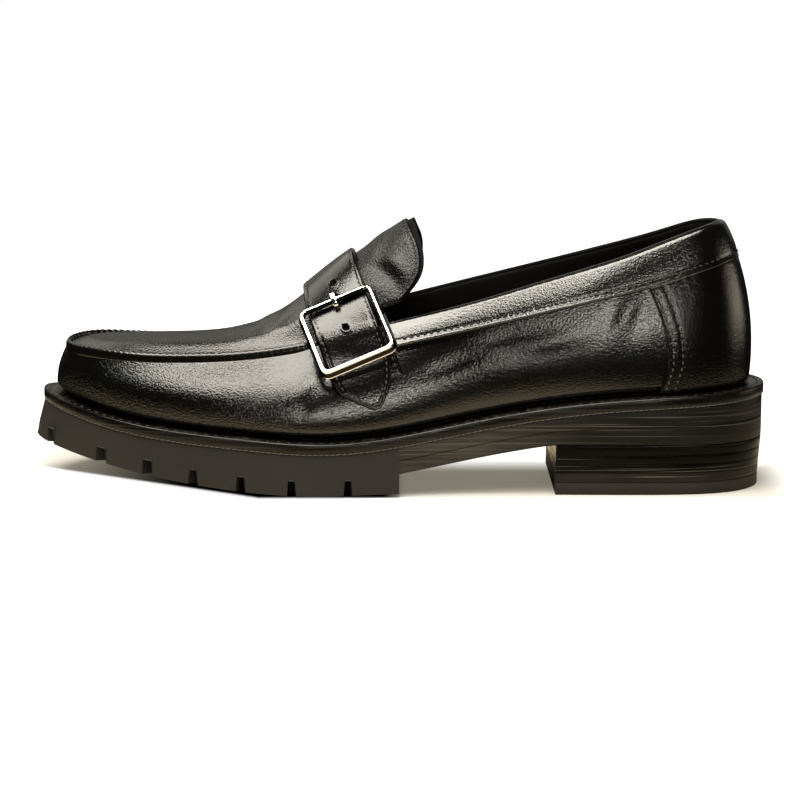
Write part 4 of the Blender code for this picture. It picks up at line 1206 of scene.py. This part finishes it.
tongue_line, tongue_normal = rows_at(tongue_grid, tongue_out, tongue_run - tongue_run[-1:], -TONGUE_STITCH,
                                     TONGUE_LAYER[1] - STITCH_SINK)
fine_row("tongue_stitches", tongue_line[4:-4], tongue_normal[4:-4], dark_thread, 0.4, 0.2, 0.1)


# Buckle chape: the short tab that holds the buckle, sewn to the quarter under the strap.
# Only its rear corner shows beside the strap.

CHAPE_LAYER = (0.3, 1.8)
CHAPE_ACROSS = (-9.0, 15.0)
CHAPE_GIRTH = (0.52, 0.93)
CHAPE_STITCH = 1.8
STRAP_CORE = (STRAP_X, 0.0, 35.0)


def body(x, girth):
    """Outside of the upper at x: girth 0 to 1 up the outer wall, to 2 over the vamp, to 3 down again."""
    t = np.clip(np.where(girth < 1.5, girth, 3 - girth), 0, 1)
    share = t ** curve(x, WALL, 3)
    reach = (HALF_LENGTH - upper_setback(x)) * (1 - share) + TOPLINE_HALF * share
    angle = np.arccos(np.clip((x - TOPLINE_MID * share) / reach, -1, 1))
    theta = np.where(girth < 1.5, angle, 2 * math.pi - angle)
    over = instep(x, np.clip(girth - 1, 0, 1))
    return np.where(((girth > 1) & (girth < 2))[..., None], over, wall(theta, t))


def strap_ground(across, girth):
    """Upper's surface under the strap: the station whose point lies `across` off the strap's middle plane."""
    x = np.full(np.shape(girth), STRAP_X)
    for _ in range(24):
        x = x - 0.7 * (off_strap(body(x, girth)) - across)
    return body(x, girth)


chape_across = mix(*CHAPE_ACROSS, crowded(30, 24.0))
chape_girth = mix(*CHAPE_GIRTH, crowded(24, 20.0))
chape_grid = strap_ground(*np.meshgrid(chape_across, chape_girth, indexing="xy"))
chape_out = grid_normals(chape_grid, STRAP_CORE)
chape_inset = inset_of(chape_grid)
chape_height = CHAPE_LAYER[1] * (0.45 + 0.55 * rounded(chape_inset, 0.9))
chape_height = chape_height + groove(chape_inset, (CHAPE_STITCH,))
sheet("buckle_tab", chape_grid + chape_out * CHAPE_LAYER[0], chape_grid + chape_out * chape_height[..., None],
      [black_leather], ["buckle_chape"])
chape_rear = int(np.argmin(np.abs(chape_across - (CHAPE_ACROSS[1] - CHAPE_STITCH))))
chape_line = chape_grid[4:-4, chape_rear]
chape_normal = chape_out[4:-4, chape_rear]
chape_line = chape_line + chape_normal * (CHAPE_LAYER[1] - STITCH_SINK)
fine_row("tab_stitches", chape_line, chape_normal, fine_thread)


# Strap: two layers of leather sewn edge to edge, over the instep from the inner welt to the buckle.
# It has a pointed tip and three punched holes, and the middle one takes the prong.
# The inside of each hole takes the black lining, as painted shade.

STRAP_LIFT = 2.1
STRAP_LIFT_INNER = 0.3
STRAP_SETTLES = (2.0, 2.4)
STRAP_THICKNESS = 2.4
STRAP_TIP = 0.265
STRAP_END = 2.96
# Place along the girth, then the strap's reach to the front and to the rear of its middle plane
STRAP_WIDTHS = (
    (0.265, 0.8, 0.8), (0.31, 4.2, 3.4), (0.36, 7.4, 5.2), (0.44, 11.6, 7.9), (0.52, 12.3, 10.0),
    (0.62, 12.6, 11.8), (0.72, 12.8, 12.6), (0.95, 12.8, 12.8), (1.4, 10.4, 14.4), (1.6, 10.4, 14.2),
    (2.0, 12.1, 12.1), (3.0, 12.1, 12.1),
)
# The strap bulges up through the buckle's frame: height, place along the girth, reach
STRAP_BULGE = (2.3, 0.97, 0.16)
STRAP_STITCH = 1.9
HOLE_RADIUS = 1.15
HOLE_DEPTH = 1.9
# Holes: place along the girth, distance behind the strap's middle plane
HOLES = ((0.985, 0.0), (1.15, 1.0), (1.24, 2.3))


def strap_skin(rows, columns):
    """Grid under the strap, its normals, lift, inset from the edges and distance along it."""
    tip = np.linspace(STRAP_TIP, STRAP_TIP + 0.02, 6)
    girth = np.concatenate([tip, np.linspace(STRAP_TIP + 0.025, 1, rows), np.linspace(1, 2, rows)[1:],
                            np.linspace(2, STRAP_END, rows * 2 // 3)[1:]])
    front, rear = (straight(girth, STRAP_WIDTHS, i) for i in (1, 2))
    share = (2 * crowded(columns, 25.0) - 1)[None]
    across = np.where(share < 0, front[:, None] * share, rear[:, None] * share)
    girth = np.broadcast_to(girth[:, None], across.shape)
    grid = strap_ground(across, girth)
    rise, place, reach = STRAP_BULGE
    lift = mix(STRAP_LIFT, STRAP_LIFT_INNER, smooth(girth, *STRAP_SETTLES))
    lift = lift + rise * np.exp(-((girth - place) / reach) ** 2)
    return girth, across, front, rear, grid, grid_normals(grid, STRAP_CORE), lift


strap_girth, strap_across, strap_front, strap_rear, strap_grid, strap_out, strap_lift = strap_skin(96, 64)
strap_inset = np.minimum(strap_front[:, None] + strap_across, strap_rear[:, None] - strap_across)
strap_inset = np.minimum(strap_inset, inset_of(strap_grid))
strap_top = STRAP_THICKNESS * (0.5 + 0.5 * rounded(strap_inset, 1.0)) + groove(strap_inset, (STRAP_STITCH,))
strap_hole = np.zeros(strap_girth.shape)
for hole, behind in HOLES:
    spot = strap_ground(np.array([behind]), np.array([hole]))[0]
    distance = np.linalg.norm(strap_grid - spot, axis=-1)
    strap_hole = np.maximum(strap_hole, 1 - smooth((distance - HOLE_RADIUS + 0.25) / 0.5))
    strap_top = strap_top + 0.16 * np.exp(-((distance - HOLE_RADIUS - 0.75) / 0.45) ** 2)
strap_top = strap_top - HOLE_DEPTH * strap_hole
strap_leather = leather_finish("strap_leather", 0.5, 0.17)
strap_low = strap_grid + strap_out * strap_lift[..., None]
# Quads inside the holes take the black lining as painted shade
hole_painted_shade = strap_hole[:-1, :-1] + strap_hole[1:, :-1] + strap_hole[:-1, 1:] + strap_hole[1:, 1:] > 1.2
sheet("instep_strap", strap_low, strap_low + strap_out * strap_top[..., None], [strap_leather, black_lining],
      ["strap"], hole_painted_shade)
strap_line = []
strap_line_out = []
for way, reach in ((-1, strap_front), (1, strap_rear)):
    lane_half = np.maximum(reach - STRAP_STITCH, 0.05) * way
    lane_girth = strap_girth[:, 0] + 0.045 * np.exp(-((strap_girth[:, 0] - STRAP_TIP) / 0.05) ** 2)
    lane = strap_ground(lane_half, lane_girth)
    normal = strap_out[:, strap_out.shape[1] // 2 + way * (strap_out.shape[1] // 2 - 8)]
    strap_line.append(lane + normal * (strap_lift[:, :1] + STRAP_THICKNESS - 0.14))
    strap_line_out.append(normal)
strap_path = np.concatenate([strap_line[0][:3:-1], strap_line[1][4:]])
strap_path_out = np.concatenate([strap_line_out[0][:3:-1], strap_line_out[1][4:]])
strap_run = run_along(strap_path)
strap_even_out = on_path(np.linspace(0, 1, 400), strap_run / strap_run[-1], strap_path_out)
fine_row("strap_stitches", strap_path, strap_even_out, fine_thread, 0.2)


# Buckle: a square frame of polished steel with flat bars and a thin round top bar, which carries the prong.
# The prong comes up through the strap's middle hole and rests over the top bar.
# The bars' sides and the rod's underside are painted near black, as painted shade and dark reflection.

BUCKLE_GIRTH = 0.915
BUCKLE_CHORD = (0.68, 1.27)
BUCKLE_LONG = 33.0
BUCKLE_WIDE = 33.0
BUCKLE_BAR = 2.8
BUCKLE_TOP_BAR = 2.0
BUCKLE_CORNER = 4.2
BUCKLE_INNER_CORNER = 1.8
BUCKLE_RISE = 2.4
BUCKLE_TILT = math.radians(7.0)
BUCKLE_TURN = math.radians(2.5)
STEEL_COLOUR = (0.72, 0.71, 0.69)
# Near-black copy of the steel: painted shade and dark reflection on the frame's sides and under the rod
PAINTED_SHADE_STEEL_COLOUR = (0.012, 0.011, 0.0095)
PRONG_HALF = (1.15, 0.62)
PRONG_ROWS = 40
PRONG_SIDES = 16
# Prong: place before the buckle's top edge, height over the strap
PRONG_PATH = ((4.3, 2.6), (4.0, 4.0), (3.5, 5.1), (2.5, 5.75), (1.2, 5.95), (-0.3, 5.9), (-1.4, 5.6))


def steel_finish(name, colour):
    """Polished steel: faint long scratches and a slight dulling."""
    material, shader, wire, place = new_finish(name)
    scratch = noise(wire, stretched(wire, place, (4000.0, 300.0, 300.0)), 1.0, 2.0)
    haze = noise(wire, place, 120.0, 3.0)
    bump = bumps(wire, 0.12, 0.00002, scratch)
    shade = between(wire, haze, colour, times(1.15, colour))
    feed(shader, {"Base Color": shade, "Metallic": 1.0, "Roughness": haze * 0.1 + 0.08, "Normal": bump})
    return material


def buckle_axes():
    """Centre of the buckle on the strap's face, and its directions along, across and up."""
    girth = np.array([[BUCKLE_GIRTH - 0.02, BUCKLE_GIRTH, BUCKLE_GIRTH + 0.02]] * 3).T
    grid = strap_ground(np.array([[-1.0, 0.0, 1.0]] * 3), girth)
    ends = strap_ground(np.zeros(2), np.array(BUCKLE_CHORD))
    along = unit(ends[1] - ends[0])
    side = grid[1, 2] - grid[1, 0]
    side = unit(side - along * (side @ along))
    up = np.cross(side, along)
    centre = grid[1, 1] + up * (STRAP_LIFT + STRAP_THICKNESS)
    side, up = turned(side, up, BUCKLE_TILT)
    side, along = turned(side, along, BUCKLE_TURN)
    return centre, along, side, up


def rounded_loop(low, high, wide, corner):
    """Rounded rectangle as points along and across: four quarter circles joined by straight runs."""
    centres = ((high - corner, wide / 2 - corner), (high - corner, corner - wide / 2),
               (low + corner, corner - wide / 2), (low + corner, wide / 2 - corner))
    loop = []
    for quarter, (along, across) in enumerate(centres):
        turn = math.pi / 2 * (1 - quarter - np.linspace(0, 1, 10))
        arc = np.stack([along + corner * np.cos(turn), across + corner * np.sin(turn)], -1)
        following = centres[(quarter + 1) % 4]
        end = math.pi / 2 * (1 - quarter - 1)
        start = np.array([following[0] + corner * math.cos(end), following[1] + corner * math.sin(end)])
        run = mix(arc[-1], start, np.linspace(0, 1, 9)[1:-1, None])
        loop += [arc, run]
    return np.concatenate(loop)


polished_steel = steel_finish("polished_steel", STEEL_COLOUR)
# The same steel painted near black, for painted shade and dark reflection on the frame
painted_shade_steel = steel_finish("painted_shade_steel", PAINTED_SHADE_STEEL_COLOUR)
buckle_centre, buckle_along, buckle_side, buckle_up = buckle_axes()


def on_buckle(s, c, n):
    """Point of the buckle's own axes: along, across and up."""
    return (buckle_centre + np.multiply.outer(s, buckle_along) + np.multiply.outer(c, buckle_side)
            + np.multiply.outer(n, buckle_up))


# Section of a bar: from the outer (0) or inner (1) side, inset from it, height
FRAME_SECTION = (
    (0, 0.5, 0.0), (0, 0.12, 0.1), (0, 0.0, 0.35), (0, 0.12, 0.65), (0, 0.55, 1.7), (0, 1.0, 2.8),
    (0, 1.12, 3.15), (0, 1.4, 3.4), (1, 0.45, 3.4), (1, 0.2, 3.2), (1, 0.08, 2.85), (1, 0.0, 1.5),
    (1, 0.12, 0.2), (1, 0.5, 0.0),
)
# Rows of the section painted near black as painted shade and dark reflection: its sides, and the underside of
# the rod
FRAME_PAINTED_SHADE = (3, 4, 10, 11, 12)
ROD_PAINTED_SHADE = (0, 1, 2, 3, 4, 5, 8, 9, 10, 11, 12, 13)
ROD_RADIUS = 1.3
ROD_HEIGHT = 1.45


def frame_rings():
    """Sections of the frame between an outer and an inner loop.

    Three bars have flat tops and sides that lean in, and the fourth is a round rod of the radius r:
    its section is r * (cos a, sin a) about the middle of the bar. Both are mixed by the share of the rod.
    """
    half = BUCKLE_LONG / 2
    outer = rounded_loop(-half, half, BUCKLE_WIDE, BUCKLE_CORNER)
    inner = rounded_loop(-half + BUCKLE_BAR, half - BUCKLE_TOP_BAR, BUCKLE_WIDE - 2 * BUCKLE_BAR,
                         BUCKLE_INNER_CORNER)
    bar = np.linalg.norm(outer - inner, axis=-1)[:, None]
    rod = smooth((outer[:, :1] - half + 1.0) / 0.9)
    points = []
    for row, (side, inset, height) in enumerate(FRAME_SECTION):
        share = np.minimum(inset / bar, 0.48)
        share = 1 - share if side else share
        turn = 2 * math.pi * row / len(FRAME_SECTION) - math.pi / 2
        share = mix(share, 0.5 - ROD_RADIUS * math.cos(turn) / bar, rod)
        loop = mix(outer, inner, share)
        rise = mix(height, ROD_HEIGHT + ROD_RADIUS * math.sin(turn), rod[:, 0])
        points.append(on_buckle(loop[:, 0], loop[:, 1], BUCKLE_RISE + rise))
    return np.array(points + points[:1]), rod[:, 0] > 0.5


frame_points, frame_rod = frame_rings()
frame_rows = np.arange(len(FRAME_SECTION))[:, None]
# Faces in the painted shade rows take the near-black steel
frame_painted_shade = np.where(frame_rod[None], np.isin(frame_rows, ROD_PAINTED_SHADE), np.isin(frame_rows, FRAME_PAINTED_SHADE))
piece("steel_buckle", frame_points, [quads(*frame_points.shape[:2], True)], [polished_steel, painted_shade_steel],
      ["buckle_frame"], 40, frame_painted_shade.ravel())

prong_line = np.array([(BUCKLE_LONG / 2 - back, height) for back, height in PRONG_PATH])
prong_step = np.linspace(0, len(prong_line) - 1, PRONG_ROWS)
prong_knots = np.arange(len(prong_line), dtype=float)
prong_s, prong_n = (spline(prong_step, prong_knots, prong_line[:, i]) for i in (0, 1))
prong_row = np.arange(PRONG_ROWS)
prong_size = rounded(np.minimum(prong_row, prong_row[::-1]) + 0.02, 2.0)[:, None]
prong_turn = round_turn(PRONG_SIDES)
prong_over, prong_high = (half * np.sign(wave) * np.abs(wave) ** 0.5 * prong_size
                          for half, wave in zip(PRONG_HALF, (np.cos(prong_turn), np.sin(prong_turn))))
prong_slope = np.arctan2(np.gradient(prong_n), np.gradient(prong_s))[:, None]
prong_points = on_buckle(prong_s[:, None] - np.sin(prong_slope) * prong_high, prong_over,
                         prong_n[:, None] + np.cos(prong_slope) * prong_high)
tube("steel_prong", prong_points, [polished_steel], ["buckle_prong"], 50)


# Studio: a white table with a painted glow and painted shade near the shoe, under one broad soft box
# overhead, two small boxes in front, and weak fill lights.
# The camera stands level with the outer side, a little above, at the photograph's angle.

CAMERA_PLACE = (0.0013, -1.0, 0.202)
CAMERA_PITCH = math.radians(90.0 - 9.67)
CAMERA_LENS = 110.07
BLACK = (0.0, 0.0, 0.0)
TABLE_HALF = (30.0, 30.0)
TABLE_COLOUR = (0.4, 0.397, 0.39)
# Card for the painted reflection of the ground in the shoe's gloss: half size, fade, colour and height
CARD_HALF = (0.36, 0.2)
PAINTED_REFLECTION_FADE = (0.55, 0.95)
PAINTED_REFLECTION_COLOUR = (0.66, 0.56, 0.4)
CARD_HEIGHT = 0.0002
# Painted light of the table's glow: where it starts behind, ahead, slanting under the toe and beyond the
# ends; then the painted shade tone near the shoe
GLOW_BEHIND = (0.004, 0.04)
GLOW_AHEAD = (-0.044, -0.05)
GLOW_TOE = (0.055, 0.68, 1.0)
GLOW_ENDS = (0.146, 0.176)
GLOW_SHADE = (0.2, 0.182, 0.14)
# Painted contact shadow: the stretch of x under the tread where the table goes black
PAINTED_SHADOW_FRONT = (-0.148, -0.085)
PAINTED_SHADOW_REAR = (0.004, -0.006)
AIR_COLOUR = (1.0, 0.98, 0.95, 1.0)
AIR_STRENGTH = 0.015
PALE_LIGHT = (1.0, 0.945, 0.84)
WARM_LIGHT = (1.0, 0.86, 0.66)
# Soft boxes: name, place, aim, width, depth, power, colour
SOFT_BOXES = (
    ("overhead_box", (-0.27, -0.22, 1.0), (-0.27, 0.02, 0.05), 1.0, 0.66, 28.5, PALE_LIGHT),
    ("rear_box", (-0.62, 0.66, 0.75), (-0.04, 0.0, 0.08), 0.8, 0.45, 2.0, PALE_LIGHT),
    ("front_bank", (0.0, -0.68, 0.84), (0.04, 0.0, 0.06), 0.3, 0.24, 4.0, PALE_LIGHT),
    ("quarter_box", (0.2, -1.05, 0.24), (0.1, 0.0, 0.07), 0.28, 0.1, 2.0, PALE_LIGHT),
    ("back_fill", (0.0, 1.5, 0.5), (0.0, 0.0, 0.06), 2.4, 0.7, 1.6, PALE_LIGHT),
    ("heel_fill", (1.2, 0.1, 0.16), (0.13, 0.0, 0.07), 0.7, 0.3, 1.8, WARM_LIGHT),
)


def flat_sheet(name, half, height, finish):
    """Level rectangle about the origin."""
    mesh = bpy.data.meshes.new(name)
    corners = [(x * half[0], y * half[1], height) for x, y in ((-1, -1), (1, -1), (1, 1), (-1, 1))]
    mesh.from_pydata(corners, [], [(0, 1, 2, 3)])
    mesh.materials.append(finish)
    item = bpy.data.objects.new(name, mesh)
    bpy.context.scene.collection.objects.link(item)
    return item


def floor_finish():
    """White table glowing with painted light away from the shoe, so that only the ground close to it is in
    painted shade and painted contact shadow.
    """
    material, shader, wire, place = new_finish("white_table")
    split = axis_of(wire, place, "X")
    across = axis_of(wire, place, "Y")
    # The glow is painted light: full behind, ahead and beyond the ends of the shoe
    slant = split.maths("MAXIMUM", -GLOW_TOE[0] - split, 0.0)
    behind = ramp(wire, across - slant * GLOW_TOE[2], *GLOW_BEHIND)
    ahead = ramp(wire, across - slant * GLOW_TOE[1], *GLOW_AHEAD)
    ends = ramp(wire, split.maths("ABSOLUTE", split, 0.0), *GLOW_ENDS)
    glow = behind.maths("MAXIMUM", behind.maths("MAXIMUM", behind, ahead), ends)
    # Painted contact shadow: one under the tread from the ball to the waist, where glow and colour go black
    painted_contact_shadow = ramp(wire, split, *PAINTED_SHADOW_FRONT) * ramp(wire, split, *PAINTED_SHADOW_REAR)
    # bare is one outside the painted contact shadow or where the table glows; elsewhere the table's colour is
    # painted black as shadow
    bare = painted_contact_shadow.maths("MAXIMUM", 1 - painted_contact_shadow, glow)
    # The glow falls to the painted shade tone near the shoe, and to black in the painted contact shadow
    light = between(wire, glow, between(wire, painted_contact_shadow, GLOW_SHADE, BLACK), (1.0, 1.0, 1.0))
    feed(shader, {"Base Color": between(wire, bare, BLACK, TABLE_COLOUR), "Roughness": 0.9,
                  "Specular IOR Level": 0.0, "Emission Color": light, "Emission Strength": 1.0})
    return material


def card_finish():
    """Painted reflection of the ground close to the shoe, seen only in its gloss: a warm tone that fades to
    black a hand's breadth away.
    """
    material, shader, wire, place = new_finish("painted_reflection_card")
    spread = wire.node("ShaderNodeVectorMath", {"operation": "LENGTH"},
                       {0: stretched(wire, place, (1 / CARD_HALF[0], 1 / CARD_HALF[1], 0.0))}, "Value")
    shade = between(wire, ramp(wire, spread, *PAINTED_REFLECTION_FADE), PAINTED_REFLECTION_COLOUR, BLACK)
    feed(shader, {"Base Color": shade, "Roughness": 0.9, "Specular IOR Level": 0.0})
    return material


def soft_box(name, place, aim, wide, deep, power, colour):
    """Area light that faces a point."""
    lamp = bpy.data.lights.new(name, "AREA")
    lamp.shape = "RECTANGLE"
    lamp.size = wide
    lamp.size_y = deep
    lamp.energy = power
    lamp.color = colour
    item = bpy.data.objects.new(name, lamp)
    item.location = place
    item.rotation_euler = (Vector(aim) - Vector(place)).to_track_quat("-Z", "Y").to_euler()
    bpy.context.scene.collection.objects.link(item)
    return item


table = flat_sheet("white_table", TABLE_HALF, 0.0, floor_finish())
table.visible_glossy = False
# A card seen only in the shoe's gloss, which gives the painted reflection of the ground
painted_reflection_card = flat_sheet("painted_reflection_card", CARD_HALF, CARD_HEIGHT, card_finish())
painted_reflection_card.visible_camera = False
painted_reflection_card.visible_diffuse = False
painted_reflection_card.visible_shadow = False

for box in SOFT_BOXES:
    soft_box(*box)

world = bpy.data.worlds.new("studio")
world.use_nodes = True
air = world.node_tree.nodes["Background"]
air.inputs["Color"].default_value = AIR_COLOUR
air.inputs["Strength"].default_value = AIR_STRENGTH
bpy.context.scene.world = world
bpy.context.scene.view_settings.view_transform = "Standard"

lens = bpy.data.cameras.new("photo_camera")
lens.lens = CAMERA_LENS
lens.sensor_width = 36.0
lens.clip_end = 100.0
camera = bpy.data.objects.new("photo_camera", lens)
camera.location = CAMERA_PLACE
camera.rotation_euler = (CAMERA_PITCH, 0.0, 0.0)
bpy.context.scene.collection.objects.link(camera)
bpy.context.scene.camera = camera
